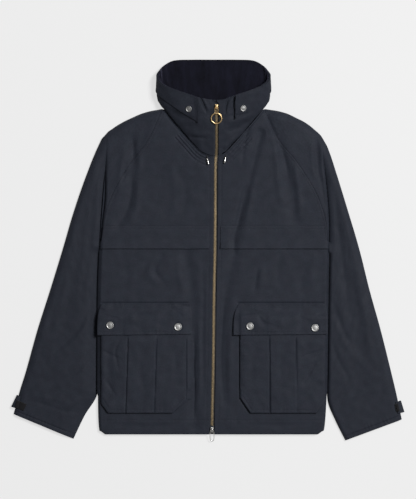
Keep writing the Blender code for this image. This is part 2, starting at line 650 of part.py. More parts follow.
# ---------------------------------------------------------------- hard pieces
def turned(name, profile, segments, finish, centre, normal=(0, 0, 1)):
    """A closed solid of revolution: profile is (radius, height) from its foot to its crown."""
    axis = Vector(normal).normalized()
    turn = Vector((0, 0, 1)).rotation_difference(axis).to_matrix()
    points, faces = [Vector(centre) + turn @ Vector((0, 0, profile[0][1]))], []
    for radius, height in profile:
        for k in range(segments):
            angle = 2 * math.pi * k / segments
            spot = Vector((radius * math.cos(angle), radius * math.sin(angle), height))
            points.append(Vector(centre) + turn @ spot)
    points.append(Vector(centre) + turn @ Vector((0, 0, profile[-1][1])))
    for k in range(segments):
        n = (k + 1) % segments
        faces.append((0, 1 + n, 1 + k))
        for r in range(len(profile) - 1):
            a, b = 1 + r * segments, 1 + (r + 1) * segments
            faces.append((a + k, a + n, b + n, b + k))
        top = 1 + (len(profile) - 1) * segments
        faces.append((top + k, top + n, len(points) - 1))
    return mesh_object(name, [tuple(p) for p in points], faces, finish)


def snap(name, radius, x, y, names):
    """A snap cap: a shallow dished disc with a rolled rim."""
    tree = tree_of(names)
    turns = np.linspace(0, 2 * math.pi, 9)[:-1]
    spots = [(x + radius * 1.05 * math.cos(a), y + radius * 1.05 * math.sin(a)) for a in turns]
    points = [Vector((px, py, top_of(tree, px, py))) for px, py in spots]
    slope_x = (points[0].z - points[4].z) / (2.1 * radius)
    slope_y = (points[2].z - points[6].z) / (2.1 * radius)
    normal = Vector((-slope_x, -slope_y, 1)).normalized()
    level = max([p.z - slope_x * (p.x - x) - slope_y * (p.y - y) for p in points] + [top_of(tree, x, y)])
    profile = [(radius * 0.94, 0.0), (radius, 0.8), (radius * 0.97, SNAP_HIGH - 0.4), (radius * 0.86, SNAP_HIGH),
               (radius * 0.70, SNAP_HIGH - 0.5), (radius * 0.32, SNAP_HIGH - 0.2)]
    turned(name, profile, 20, "snap_metal", (x, y, level + 0.45), normal)


def tube(name, path, radius, finish, around=8):
    """A closed loop of round wire."""
    path = np.asarray(path, float)
    count = len(path)
    ahead = np.roll(path, -1, axis=0) - np.roll(path, 1, axis=0)
    normal = Vector(np.cross(path[count // 4] - path[0], path[count // 2] - path[0])).normalized()
    points = []
    for point, course in zip(path, ahead):
        beside = normal.cross(Vector(course).normalized())
        points += [tuple(Vector(point) + (beside * math.cos(a) + normal * math.sin(a)) * radius)
                   for a in np.linspace(0, 2 * math.pi, around, endpoint=False)]
    faces = []
    for r in range(count):
        n = (r + 1) % count
        for k in range(around):
            m = (k + 1) % around
            faces.append((r * around + k, r * around + m, n * around + m, n * around + k))
    made = mesh_object(name, points, faces, finish)
    turn_faces_out(made)
    return made


def block(name, size, centre, tilt, finish, bevel=0.8):
    """A rounded block, tilted about X by tilt (radians)."""
    frame = bmesh.new()
    bmesh.ops.create_cube(frame, size=1.0, matrix=Matrix.Diagonal((*size, 1.0)))
    bmesh.ops.bevel(frame, geom=frame.edges[:], offset=bevel, segments=1, affect="EDGES")
    turn = Matrix.Rotation(tilt, 4, "X")
    points = [tuple(turn @ v.co + Vector(centre)) for v in frame.verts]
    faces = [[v.index for v in f.verts] for f in frame.faces]
    frame.free()
    return mesh_object(name, points, faces, finish)


def combine(first, second, operation):
    """Joins a second solid to the first, or cuts it away, and keeps only the first."""
    both = first.modifiers.new("Both", "BOOLEAN")
    both.operation, both.solver, both.object = operation, "EXACT", second
    bpy.context.view_layer.update()
    mesh = bpy.data.meshes.new_from_object(first.evaluated_get(bpy.context.evaluated_depsgraph_get()))
    first.modifiers.remove(both)
    first.data = mesh
    bpy.data.objects.remove(second)
    return first


def cut(item, cutter):
    return combine(item, cutter, "DIFFERENCE")


def union(first, *others):
    for other in others:
        combine(first, other, "UNION")
    return first


def set_origin(item, spot):
    """Puts an object's origin at a point given in garment millimetres, leaving its shape where it is."""
    origin = Vector(place(spot))
    item.data.transform(Matrix.Translation(-origin))
    item.location = origin


# ---------------------------------------------------------------- zip
PIN_HIGH = 3.05         # hole under a slider's crown
RING_R = 11.4
RING_WIRE = 1.5
CHAIN_HALF = 3.3
CHAIN_HIGH = 2.4
CHAIN_LOW_Y, CHAIN_TOP_Y = 20.0, 711.0
TAPE_HALF = 12.0


def centre_high(y):
    """Height of the cloth's outer side along the zip, up the front and on up the collar."""
    if y <= COLLAR_FRONT_Y:
        return float(body_high(0.0, y))
    share = (y - COLLAR[0].seam_y) / (COLLAR[0].rim_y - COLLAR[0].seam_y)
    share = min(max(share, 0.0), 1.0)
    straight = COLLAR[0].seam_z + (COLLAR[0].rim_z - COLLAR[0].seam_z) * share
    return straight + COLLAR_BULGE * math.sin(math.pi * share)


def centre_slope(y):
    return math.atan2(centre_high(y + 4) - centre_high(y - 4), 8.0)


def zip_strip(name, half, low_y, top_y, below, high, finish, steps):
    """A strip along the zip; below is the depth of its upper side under the cloth's outer side."""
    over = []
    for y in np.linspace(low_y, top_y, steps):
        z = centre_high(y) - below
        over.append([(float(zip_x(y)) - half, y, z), (float(zip_x(y)) + half, y, z)])
    over = np.array(over)
    under = over - [0, 0, high]
    wall(name, over, under, finish)


def make_zip():
    zip_strip("zip_tape", TAPE_HALF, 3.0, 733.0, 4.6, 1.0, "tape", 26)
    zip_strip("zip_chain", CHAIN_HALF, CHAIN_LOW_Y, CHAIN_TOP_Y, 4.25 - CHAIN_HIGH, CHAIN_HIGH, "brass", 26)


def slider(name, y, length, width):
    """Slider body over the chain, with the crown that its pull hangs on."""
    x, z, tilt = float(zip_x(y)), centre_high(y) + 0.6, centre_slope(y)
    up = Vector((0, -math.sin(tilt), math.cos(tilt)))
    along = Vector((0, math.cos(tilt), math.sin(tilt)))
    at = Vector((x, y, z))

    def part(size, along_by, up_by, bevel):
        return block(name, size, at + along * along_by + up * up_by, tilt, "nickel", bevel)

    post = (2.4, 2.2, 3.4)
    union(part((width, length, 2.6), 0, 0.6, 0.7), part(post, length * 0.32, 2.8, 0.3),
          part(post, -length * 0.32, 2.8, 0.3), part((2.4, length * 0.86, 1.4), 0, 4.9, 0.3))
    return at + up * PIN_HIGH, along, up


def oval(centre, along, up, half_long, half_wide, count, power=0.6):
    """A closed path; along is its long direction, and a lower power squares its ends."""
    across = along.cross(up)
    points = []
    for k in range(count):
        a = 2 * math.pi * k / count
        bend = [abs(w) ** power * (1 if w >= 0 else -1) for w in (math.cos(a), math.sin(a))]
        points.append(tuple(centre + along * half_long * bend[0] + across * half_wide * bend[1]))
    return points


def pull_frame(pin, along, up, droop):
    """The pin and the directions of a pull that droops by so many degrees."""
    turn = Matrix.Rotation(math.radians(droop), 3, "X")
    return pin, turn @ -along, turn @ up


def make_pulls():
    pin, along, up = pull_frame(*slider("top_slider", 719.0, 11.0, 7.0), 3.0)
    link = tube("top_pull", oval(pin + along * 7.0, along, up, 7.0, 3.4, 20), 0.7, "nickel")
    ring = oval(pin + along * (13.9 + RING_R), along, up, RING_R, RING_R, 30, 1.0)
    union(link, tube("top_pull_ring", ring, RING_WIRE, "nickel"))
    set_origin(link, pin)
    pin, along, up = pull_frame(*slider("bottom_slider", 11.0, 12.0, 7.0), 14.0)
    set_origin(tube("bottom_pull", oval(pin + along * 13.5, along, up, 13.5, 4.4, 26), 0.7, "nickel"), pin)


# ---------------------------------------------------------------- cords and cuff tabs
def cord(name, route, radius, finish):
    """A cord as a round curve with closed ends, its points a little over two diameters apart."""
    length = sum((Vector(b) - Vector(a)).length for a, b in zip(route, route[1:]))
    points = place(spline(route, max(6, round(length / (4.4 * radius)) + 1)))
    curve = bpy.data.curves.new(name, "CURVE")
    curve.dimensions = "3D"
    curve.bevel_depth = radius * MM
    curve.bevel_resolution = 2
    curve.use_fill_caps = True
    run = curve.splines.new("POLY")
    run.points.add(len(points) - 1)
    for spot, point in zip(run.points, points):
        spot.co = (*point, 1.0)
    curve.materials.append(material(finish))
    made = bpy.data.objects.new(name, curve)
    bpy.context.scene.collection.objects.link(made)
    return made


def make_cords():
    """Each drawcord comes up through its eyelet, just below the collar seam, and ends in a metal tip."""
    for side, eyelet in EYELETS.items():
        hole = [(EYELET_R, -4.0), (EYELET_R, 4.0)]
        cutter = turned("eyelet_cutter", hole, 16, "tape", (eyelet.out, eyelet.y, EYELET_Z))
        cut(bpy.data.objects[f"front_{side}"], cutter)
        cord(f"drawcord_{side}", [(eyelet.out, eyelet.y + ahead, z) for ahead, z in CORD_ROUTE], CORD_R, "cord")
        end = Vector((eyelet.out, eyelet.y + CORD_ROUTE[-1].ahead - 0.6, CORD_ROUTE[-1].z))
        profile = [(TIP_R * 0.8, 0.0), (TIP_R, 0.7), (TIP_R, TIP_LONG - 1.4), (TIP_R * 0.75, TIP_LONG - 0.3),
                   (TIP_R * 0.4, TIP_LONG)]
        turned(f"cord_tip_{side}", profile, 14, "nickel", end, (0, -1, 0))


def make_tabs():
    """A loop of cloth round each sleeve's outer edge, and the webbing end that lies on it and on the sleeve."""
    for side, (low, high) in TAB_LOOPS.items():
        low, high = np.array(low), np.array(high)
        course = (high - low) / np.linalg.norm(high - low)
        outward = np.array([course[1], -course[0]]) * SIGN[side]
        grid = np.zeros((4, len(LOOP_BEND), 3))
        for row, share in enumerate(np.linspace(0, 1, len(grid))):
            spread = LOOP_SPREAD[side][0] * (1 - share) + LOOP_SPREAD[side][1] * share
            for column, (reach, z) in enumerate(LOOP_BEND):
                out = reach * spread if reach > 0 else reach
                grid[row, column] = (*(low + (high - low) * share + outward * out), z)
        name = f"cuff_loop_{side}"
        turn_faces_out(wall(name, moved_out(grid, LOOP_CLOTH / 2), moved_out(grid, -LOOP_CLOTH / 2), "shell"))
    for side, corners in TAB_ENDS.items():
        a, b, c, d = (np.array(corner) for corner in corners)
        shares = np.linspace(0, 1, 6)
        s, t = np.meshgrid(shares, shares, indexing="ij")
        s, t = s[..., None], t[..., None]
        plan = (1 - s) * ((1 - t) * a + t * b) + s * ((1 - t) * d + t * c)
        under = lie_on([f"sleeve_front_{side}", f"cuff_loop_{side}"], plan, 3.0)
        wall(f"cuff_tab_{side}", raised(under, TAB_THICK), under, "tab")


def turn_faces_out(item):
    frame = bmesh.new()
    frame.from_mesh(item.data)
    bmesh.ops.recalc_face_normals(frame, faces=frame.faces[:])
    frame.to_mesh(item.data)
    frame.free()


# ---------------------------------------------------------------- build
def build():
    clear_scene()
    for side in SIGN:
        front = make_front(side)
        make_storm_flap(side, front)
        make_sleeve(side)
        make_pocket(side)
        make_pocket_flap(side)
    make_back()
    make_collar()
    make_zip()
    make_pulls()
    make_cords()
    make_tabs()
    for side, sign in SIGN.items():
        for number, spot in enumerate(POCKET_SNAPS[side], 1):
            snap(f"pocket_snap_{side}_{number}", SNAP_R, sign * spot.out, spot.y, [f"pocket_flap_{side}"])
        spot = COLLAR_SNAPS[side]
        snap(f"collar_snap_{side}", COLLAR_SNAP_R, sign * spot.out, spot.y, ["collar_band"])


build()
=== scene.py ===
import functools
import math
from collections import namedtuple

import bmesh
import bpy
import numpy as np
from mathutils import Matrix, Vector
from mathutils.bvhtree import BVHTree


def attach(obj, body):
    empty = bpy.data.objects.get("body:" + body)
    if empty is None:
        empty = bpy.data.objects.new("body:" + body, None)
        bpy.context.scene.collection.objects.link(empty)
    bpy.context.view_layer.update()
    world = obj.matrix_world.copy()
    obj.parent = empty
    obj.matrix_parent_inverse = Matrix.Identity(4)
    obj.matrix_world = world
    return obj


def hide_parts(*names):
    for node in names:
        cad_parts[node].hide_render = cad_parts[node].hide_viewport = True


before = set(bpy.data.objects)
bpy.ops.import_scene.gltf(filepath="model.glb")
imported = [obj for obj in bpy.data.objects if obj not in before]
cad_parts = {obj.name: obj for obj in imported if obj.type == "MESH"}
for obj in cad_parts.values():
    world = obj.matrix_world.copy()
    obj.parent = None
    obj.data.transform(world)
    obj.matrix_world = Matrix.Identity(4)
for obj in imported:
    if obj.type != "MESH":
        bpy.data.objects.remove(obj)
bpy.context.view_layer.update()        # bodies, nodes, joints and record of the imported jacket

print("frame loaded with", len(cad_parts), "nodes")

# Sizes are a maker's millimetres: out from the centre front to either side, y up from the hem and z up
# from the surface. Left and right are the wearer's, so the left side is at +X.
mm = 0.001
centreX, hemY = 12.4, -404.7         # moves the centre front and the hem to their places in the frame
signOf = {"Left": 1, "Right": -1}

camera = {
    "pixelsHigh": 499, "pixel": 0.0022,      # the picture's height, and metres of jacket to one pixel
    "middle": (0.0003, 0.0023), "high": 5.0, "clothHigh": 0.012, "sensor": 24.0,
}


def linked(name, data):
    made = bpy.data.objects.new(name, data)
    bpy.context.scene.collection.objects.link(made)
    return made


def makeCamera():
    data = bpy.data.cameras.new("overheadCamera")
    data.sensor_fit, data.sensor_height = "VERTICAL", camera["sensor"]
    share = (camera["high"] - camera["clothHigh"]) / (camera["pixelsHigh"] * camera["pixel"])
    data.lens = data.sensor_height * share
    made = linked("overheadCamera", data)
    made.location = (*camera["middle"], camera["high"])
    bpy.context.scene.camera = made


makeCamera()
print("camera made")


def place(points):
    return (np.asarray(points, float) + np.array([centreX, hemY, 0.0])) * mm


def throughRows(rows, steps):
    # a smooth curve through the rows, with so many steps between each two
    rows = np.asarray(rows, float)
    padded = np.concatenate([2 * rows[:1] - rows[1:2], rows, 2 * rows[-1:] - rows[-2:-1]])
    fine = []
    for a, b, c, d in zip(padded, padded[1:], padded[2:], padded[3:]):
        for t in np.linspace(0, 1, steps, endpoint=False):
            bend = (2 * a - 5 * b + 4 * c - d) * t**2 + (3 * b - a - 3 * c + d) * t**3
            fine.append(0.5 * (2 * b + (c - a) * t + bend))
    return np.array([*fine, rows[-1]])


def spline(rows, count):
    # count points along a smooth curve through rows, evenly spaced by its length
    return evenly(throughRows(rows, 12), count)


smooth = functools.cache(spline)      # for rows that are tuples


def evenly(points, count):
    points = np.asarray(points, float)
    steps = np.linalg.norm(np.diff(points, axis=0), axis=1)
    length = np.concatenate([[0], np.cumsum(steps)])
    at = np.linspace(0, length[-1], count)
    return np.stack([np.interp(at, length, points[:, k]) for k in range(points.shape[1])], axis=1)


def ease(t):
    t = np.clip(t, 0.0, 1.0)
    return t * t * (3 - 2 * t)


def quarterRound(distance, radius):
    # 0 at an edge, rising like a quarter circle to 1 at radius
    t = np.clip(np.asarray(distance) / radius, 0.0, 1.0)
    return np.sqrt(1 - (1 - t) ** 2)


def roundedShares(first, last, count, arc=9):
    # shares from 0 to 1, closer together over a rounded first and last share
    angle = np.linspace(0, math.pi / 2, arc)
    start = first * (1 - np.cos(angle)) if first else np.zeros(1)
    end = 1 - last * (1 - np.cos(angle[::-1])) if last else np.ones(1)
    middle = np.linspace(start[-1], end[0], count - len(start) - len(end) + 2)
    return np.concatenate([start[:-1], middle, end[1:]])


def nearPath(path, out, y):
    # distance of points from a line in plan, how far along it they are, and the line's length
    best, along, gone = np.full(np.shape(out), 1e9), np.zeros(np.shape(out)), 0.0
    for a, b in zip(path, path[1:]):
        dx, dy = b[0] - a[0], b[1] - a[1]
        step = math.hypot(dx, dy)
        t = np.clip(((out - a[0]) * dx + (y - a[1]) * dy) / (step * step), 0, 1)
        away = np.hypot(out - a[0] - t * dx, y - a[1] - t * dy)
        closer = away < best
        best = np.where(closer, away, best)
        along = np.where(closer, gone + t * step, along)
        gone += step
    return best, along, gone


def oddCount(count):
    return max(3, 2 * round(count / 2) + 1)      # odd, so that the hidden side can have half of it


def gridNormals(grid):
    normal = np.cross(np.gradient(grid, axis=1), np.gradient(grid, axis=0))
    return normal / np.maximum(np.linalg.norm(normal, axis=2, keepdims=True), 1e-9)


def movedOut(grid, distance):
    return grid + gridNormals(grid) * distance


def signed(grid, side):
    # (out, y, z) to (x, y, z), with the columns running towards +X
    made = np.array(grid, float)
    made[..., 0] *= signOf[side]
    return made if side == "Left" else made[:, ::-1]


def rowsOf(kind, *rows):
    return tuple(kind(*row) for row in rows)


# Materials: each reads the piece's own UV map, in metres of cloth, or Object coordinates
finish = {
    "shellColour": (0.0192, 0.0234, 0.0322), "shellRough": 0.66, "shellSheen": 0.02,
    # the sleeves' share makes them a touch darker; the collar's share darkens its twill all over as painted
    # shade, for its slope away from the light
    "sleeveShare": 0.93, "collarShadeShare": 0.90,
    "hueDrift": (1.10, 0.97, 1.01), "hueSize": 0.014,
    "weavePitch": 0.00075, "weaveDeep": 0.00005,
    "mottle": 0.09, "mottleSize": 0.02, "fleck": 0.17, "fleckSize": 0.0024,
    "liningColour": (0.0034, 0.0036, 0.0072), "waleWide": 0.0021, "waleDeep": 0.0004,
    "threadColour": (0.017, 0.019, 0.028),
    "tapeColour": (0.020, 0.023, 0.031),
    "tabColour": (0.0026, 0.0024, 0.0036),
    "cordColour": (0.0045, 0.0045, 0.0060),
    "brassColour": (0.88, 0.64, 0.33), "brassRough": 0.30, "teethColour": (0.53, 0.40, 0.23),
    "nickelColour": (0.78, 0.77, 0.74), "nickelRough": 0.22,
    "snapColour": (0.35, 0.35, 0.345), "snapRough": 0.42,
}


class Tree:
    # a node tree; a socket takes a number, a colour or another socket
    def __init__(self, tree):
        self.tree = tree

    def put(self, value, socket):
        if isinstance(value, bpy.types.NodeSocket):
            self.tree.links.new(value, socket)
        else:
            socket.default_value = value

    def add(self, kind, inputs, **values):
        node = self.tree.nodes.new(kind)
        for key, value in values.items():
            setattr(node, key, value)
        for key, value in inputs.items():
            self.put(value, node.inputs[key])
        return node.outputs

    def maths(self, operation, first, second=0.0):
        return self.add("ShaderNodeMath", {0: first, 1: second}, operation=operation)["Value"]


class Finish(Tree):
    # a material's tree and its shader
    def __init__(self, name, colour, roughness, inputs):
        self.material = bpy.data.materials.new(name)
        self.material.use_nodes = True
        self.material.diffuse_color = (*colour, 1.0)
        super().__init__(self.material.node_tree)
        self.set({"Base Color": (*colour, 1.0), "Roughness": roughness, **inputs})

    def set(self, inputs):
        for key, value in inputs.items():
            self.put(value, self.tree.nodes["Principled BSDF"].inputs[key])

    def where(self, kind="UV"):
        return self.add("ShaderNodeTexCoord", {})[kind]

    def noise(self, where, size, detail=2.0, rough=0.5, stretch=(1, 1, 1)):
        moved = self.add("ShaderNodeMapping", {"Vector": where, "Scale": stretch})["Vector"]
        inputs = {"Vector": moved, "Scale": 1.0 / size, "Detail": detail, "Roughness": rough}
        return self.add("ShaderNodeTexNoise", inputs)["Fac"]

    def wave(self, where, pitch, direction, distort):
        inputs = {"Vector": where, "Scale": 2 * math.pi / (20 * pitch), "Distortion": distort, "Detail": 0.0}
        return self.add("ShaderNodeTexWave", inputs, wave_type="BANDS", bands_direction=direction)["Fac"]

    def spread(self, value, low, high):
        # noise keeps mostly to 0.3 to 0.7, which is stretched to low and high
        inputs = {"Value": value, "From Min": 0.3, "From Max": 0.7, "To Min": low, "To Max": high}
        return self.add("ShaderNodeMapRange", inputs)["Result"]

    def tint(self, colour, *shares):
        # the colour times each share
        share = functools.reduce(functools.partial(self.maths, "MULTIPLY"), shares)
        made = self.add("ShaderNodeVectorMath", {0: colour, "Scale": share}, operation="SCALE")
        self.set({"Base Color": made["Vector"]})

    def bump(self, height, distance, strength=1.0, **after):
        inputs = {"Height": height, "Distance": distance, "Strength": strength, **after}
        made = self.add("ShaderNodeBump", inputs)["Normal"]
        self.set({"Normal": made})
        return made


def shellCloth(name, share):
    # a close, matt twill; its dye drifts a little in depth and hue, its colour is a touch darker on the
    # sleeves, and share darkens it all over (on the collar, painted shade)
    colour, rough = tuple(part * share for part in finish["shellColour"]), finish["shellRough"]
    made = Finish(name, colour, rough, {"Sheen Weight": finish["shellSheen"], "Sheen Roughness": 0.5,
                                        "Sheen Tint": (0.75, 0.82, 1.0, 1.0), "Specular IOR Level": 0.1})
    uv = made.where()
    shares = [made.spread(made.noise(uv, finish[key + "Size"], detail), 1 - finish[key], 1 + finish[key])
              for key, detail in (("mottle", 3.0), ("fleck", 2.0))]
    out = made.add("ShaderNodeSeparateXYZ", {0: made.where("Object")})["X"]
    away = made.maths("ABSOLUTE", made.maths("SUBTRACT", out, centreX * mm))
    inputs = {"Value": away, "To Max": finish["sleeveShare"]}
    inputs.update({"From Min": 0.20, "From Max": 0.29, "To Min": 1.0})      # metres out from the centre front
    sleeve = made.add("ShaderNodeMapRange", inputs, interpolation_type="SMOOTHSTEP")["Result"]
    drift = made.spread(made.noise(uv, finish["hueSize"], 4.0, 0.7), 0.0, 1.0)
    drifted = [a * b for a, b in zip(colour, finish["hueDrift"])]
    hue = made.add("ShaderNodeMix", {0: drift, 6: (*colour, 1.0), 7: (*drifted, 1.0)}, data_type="RGBA")[2]
    made.tint(hue, *shares, sleeve)
    twill = made.wave(uv, finish["weavePitch"], "DIAGONAL", 0.4)
    weft = made.wave(uv, finish["weavePitch"] * 0.6, "Y", 0.3)
    weave = made.maths("ADD", made.maths("MULTIPLY", twill, 0.7), made.maths("MULTIPLY", weft, 0.3))
    first = made.bump(weave, finish["weaveDeep"])
    made.bump(made.noise(uv, 0.012, 3.0, 0.6), 0.00012, Normal=first)
    made.set({"Roughness": made.spread(made.noise(uv, 0.03, 2.0), rough - 0.06, rough + 0.06)})
    return made.material


def liningCloth():
    # soft needlecord, its fine wales running up and down
    inputs = {"Sheen Weight": 0.15, "Sheen Roughness": 0.6, "Sheen Tint": (0.55, 0.55, 0.85, 1.0)}
    made = Finish("darkNeedlecord", finish["liningColour"], 0.95, {**inputs, "Specular IOR Level": 0.1})
    uv = made.where()
    wale = made.wave(uv, finish["waleWide"], "X", 0.15)
    # large stretched patches that darken and lighten the lining at random: painted shade and painted
    # highlight, standing in for its folds
    shadedPatches = made.spread(made.noise(uv, 0.03, 4.0, 0.65, (1.6, 0.6, 1)), 0.25, 1.9)
    # the wale bands tint the colour as well as the bump: painted shade in the grooves between wales, painted
    # highlight on their crests
    made.tint(finish["liningColour"], made.spread(wale, 0.5, 1.4), shadedPatches)
    first = made.bump(wale, finish["waleDeep"])
    made.bump(made.noise(uv, 0.0015, 2.0), 0.0001, 0.7, Normal=first)
    return made.material


def plainCloth(name, colour, roughness, pitch, deep):
    made = Finish(name, finish[colour], roughness, {"Sheen Weight": 0.12, "Specular IOR Level": 0.25})
    spot = made.where("Object")
    across, along = made.wave(spot, pitch, "X", 0.2), made.wave(spot, pitch, "Y", 0.2)
    made.tint(finish[colour], made.spread(made.noise(spot, pitch * 4, 2.0), 0.8, 1.25))
    made.bump(made.maths("MULTIPLY", across, along), deep)
    return made.material


def braidCloth():
    made = Finish("blackBraid", finish["cordColour"], 0.6, {"Sheen Weight": 0.2})
    strands = made.wave(made.where(), 0.0009, "DIAGONAL", 0.2)
    # the strands' bands tint the colour as well as the bump: painted shade between strands, painted highlight
    # on them
    made.tint(finish["cordColour"], made.spread(strands, 0.6, 1.7))
    made.bump(strands, 0.00008)
    return made.material


def metal(name, colour, roughness, size, scratch):
    colour, rough = finish[colour], finish[roughness]
    made = Finish(name, colour, rough, {"Metallic": 1.0})
    spot = made.where("Object")
    made.tint(colour, made.spread(made.noise(spot, size, 4.0, 0.6), 0.88, 1.08))
    made.set({"Roughness": made.spread(made.noise(spot, size * 0.3, 3.0), rough * 0.7, rough * 1.5)})
    made.bump(made.noise(spot, size * 0.15, 2.0, stretch=(1, 4, 1)), scratch)
    return made.material


cloths = {
    # each finish and the record's slot it stands for
    "shell": (shellCloth("navyTwill", 1.0), "shell_cloth"),
    # the collar's twill is darkened all over: painted shade
    "collar": (shellCloth("navyCollarTwill", finish["collarShadeShare"]), "shell_cloth"),
    "lining": (liningCloth(), "lining_cloth"),
    "tape": (plainCloth("tapeTwill", "tapeColour", 0.8, 0.0008, 0.00006), "zip_tape_cloth"),
    "tab": (plainCloth("blackWebbing", "tabColour", 0.75, 0.0012, 0.0001), "black_tab"),
    "thread": (plainCloth("navyThread", "threadColour", 0.55, 0.0005, 0.00003), "shell_cloth"),
    "cord": (braidCloth(), "cord_cloth"),
    "brass": (metal("polishedBrass", "brassColour", "brassRough", 0.004, 0.00002), "zip_brass"),
    "teeth": (metal("zipBrass", "teethColour", "brassRough", 0.004, 0.00002), "zip_brass"),
    "nickel": (metal("paleNickel", "nickelColour", "nickelRough", 0.004, 0.00002), "nickel"),
    "snap": (metal("brushedSnapMetal", "snapColour", "snapRough", 0.003, 0.00003), "snap_metal"),
}
print("materials made")


# Meshes
def meshPiece(name, points, faces, cloth, body="garment", uv=None, smooth=45):
    mesh = bpy.data.meshes.new(name)
    mesh.from_pydata(place(points).tolist(), [], faces)
    mesh.validate()
    if uv is not None:
        corner = np.zeros(len(mesh.loops), int)
        mesh.loops.foreach_get("vertex_index", corner)
        mesh.uv_layers.new(name="cloth").data.foreach_set("uv", np.asarray(uv, float)[corner].ravel())
    return finished(linked(name, mesh), cloth, body, smooth)


# Pieces whose CAD node isn't named as they are
nodeOf = {"backPanel": "back", "collarShell": "collar", "zipTeeth": "zip_chain"}


def finished(made, cloth, body="garment", smooth=45):
    material, slot = cloths[cloth]
    made.data.materials.clear()
    made.data.materials.append(material)
    made.data.shade_smooth()
    made.data.set_sharp_from_angle(angle=math.radians(smooth))
    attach(made, body)
    plain = "".join("_" + c.lower() if c.isupper() or c.isdigit() else c for c in made.name)
    node = nodeOf.get(made.name, plain)
    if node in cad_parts:
        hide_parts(node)
    return made


def gridUv(grid):
    # metres across and along a grid of points, from its first column and row
    steps = [np.linalg.norm(np.diff(grid, axis=a), axis=2).mean(axis=1 - a) for a in (1, 0)]
    u, v = (np.concatenate([[0], np.cumsum(step)]) * mm for step in steps)
    return np.stack(np.broadcast_arrays(u[None, :], v[:, None]), axis=2)


def shell(name, over, under, cloth="shell", uv=None, **words):
    # closed cloth between two grids; the hidden side keeps every second point
    rows, columns = over.shape[:2]
    low = under[::2, ::2]
    uv = gridUv(over) if uv is None else uv
    a = np.arange(rows * columns).reshape(rows, columns)
    b = rows * columns + np.arange(low[..., 0].size).reshape(low.shape[:2])
    faces = np.stack([a[:-1, :-1], a[:-1, 1:], a[1:, 1:], a[1:, :-1]], -1).reshape(-1, 4).tolist()
    faces += np.stack([b[:-1, :-1], b[1:, :-1], b[1:, 1:], b[:-1, 1:]], -1).reshape(-1, 4).tolist()
    edges = [(a[0], b[0], False), (a[-1], b[-1], True), (a[:, 0], b[:, 0], True), (a[:, -1], b[:, -1], False)]
    for outer, inner, turned in edges:
        rim = [outer[:-2:2], inner[:-1], inner[1:], outer[2::2], outer[1:-1:2]]
        faces += np.stack(rim[::-1] if turned else rim, -1).tolist()
    points = np.concatenate([over.reshape(-1, 3), low.reshape(-1, 3)])
    flat = np.concatenate([uv.reshape(-1, 2), uv[::2, ::2].reshape(-1, 2)])
    return meshPiece(name, points, faces, cloth, uv=flat, **words)


# The two drawcords, each up through its eyelet and ending in a metal tip
drawcord = {
    "radius": 1.1, "long": 0.0401, "strands": 8, "braid": 0.07, "twist": 0.9,
    "eyelets": {"Right": (-14.3, 611.6), "Left": (27.5, 614.5)},
    # ahead of the eyelet, and height
    "route": [(32, 11.5), (18, 11.8), (9, 12.5), (4.6, 14.4), (0.6, 18.6), (-2.4, 21.8), (-4.2, 22.6)],
    "tipRadius": 1.9, "tipLong": 13.5, "tipGap": 0.6, "lean": {"Right": 0.2, "Left": -0.2},
}


def braidedTube(name, route, radius):
    # a tube around a route, its wall raised by crossing strands
    rings, around = spline(route, 140), 24
    ahead = np.gradient(rings, axis=0)
    ahead /= np.linalg.norm(ahead, axis=1, keepdims=True)
    side = np.tile([1.0, 0.0, 0.0], (len(rings), 1))
    up = np.cross(side, ahead)
    angle = np.linspace(0, 2 * math.pi, around, endpoint=False)[None, :]
    far = np.linspace(0, drawcord["long"] / mm, len(rings))[:, None]
    strands, twist, braid = drawcord["strands"] / 2, drawcord["twist"], drawcord["braid"]
    weave = np.abs(np.sin(strands * angle + far * twist)) * np.abs(np.sin(strands * angle - far * twist))
    turn = side[:, None] * np.cos(angle)[..., None] + up[:, None] * np.sin(angle)[..., None]
    points = rings[:, None] + (radius * (1 - braid + braid * weave))[..., None] * turn
    faces = tubeFaces(len(rings) - 1, around)
    last = (len(rings) - 1) * around
    faces += [tuple(range(around))[::-1], tuple(last + k for k in range(around))]
    uv = np.stack(np.broadcast_arrays(radius * angle * mm, far * mm), axis=2).reshape(-1, 2)
    return turnOut(meshPiece(name, points.reshape(-1, 3), faces, "cord", uv=uv))


def tubeFaces(rows, around, rings=0):
    # faces between rings of points; the last row closes on the first of so many rings
    rings = rings or rows + 1
    return [(r * around + k, r * around + (k + 1) % around, (r + 1) % rings * around + (k + 1) % around,
             (r + 1) % rings * around + k) for r in range(rows) for k in range(around)]


def turnOut(made):
    inside = bmesh.new()
    inside.from_mesh(made.data)
    bmesh.ops.recalc_face_normals(inside, faces=inside.faces[:])
    inside.to_mesh(made.data)
    inside.free()
    return made


def lathe(name, profile, segments, cloth, centre, normal, smooth):
    # a solid of revolution: profile is (radius, height) from its foot to its crown
    turn = Vector((0, 0, 1)).rotation_difference(Vector(normal).normalized()).to_matrix()
    angles = [2 * math.pi * k / segments for k in range(segments)]
    spots = [(0, 0, profile[0][1])]
    spots += [(r * math.cos(a), r * math.sin(a), z) for r, z in profile for a in angles]
    spots.append((0, 0, profile[-1][1]))
    points = [tuple(Vector(centre) + turn @ Vector(spot)) for spot in spots]
    faces, top = [], 1 + (len(profile) - 1) * segments
    for k in range(segments):
        n = (k + 1) % segments
        faces.append((0, 1 + n, 1 + k))
        faces += [(a + k, a + n, a + segments + n, a + segments + k) for a in range(1, top, segments)]
        faces.append((top + k, top + n, len(points) - 1))
    return meshPiece(name, points, faces, cloth, smooth=smooth)


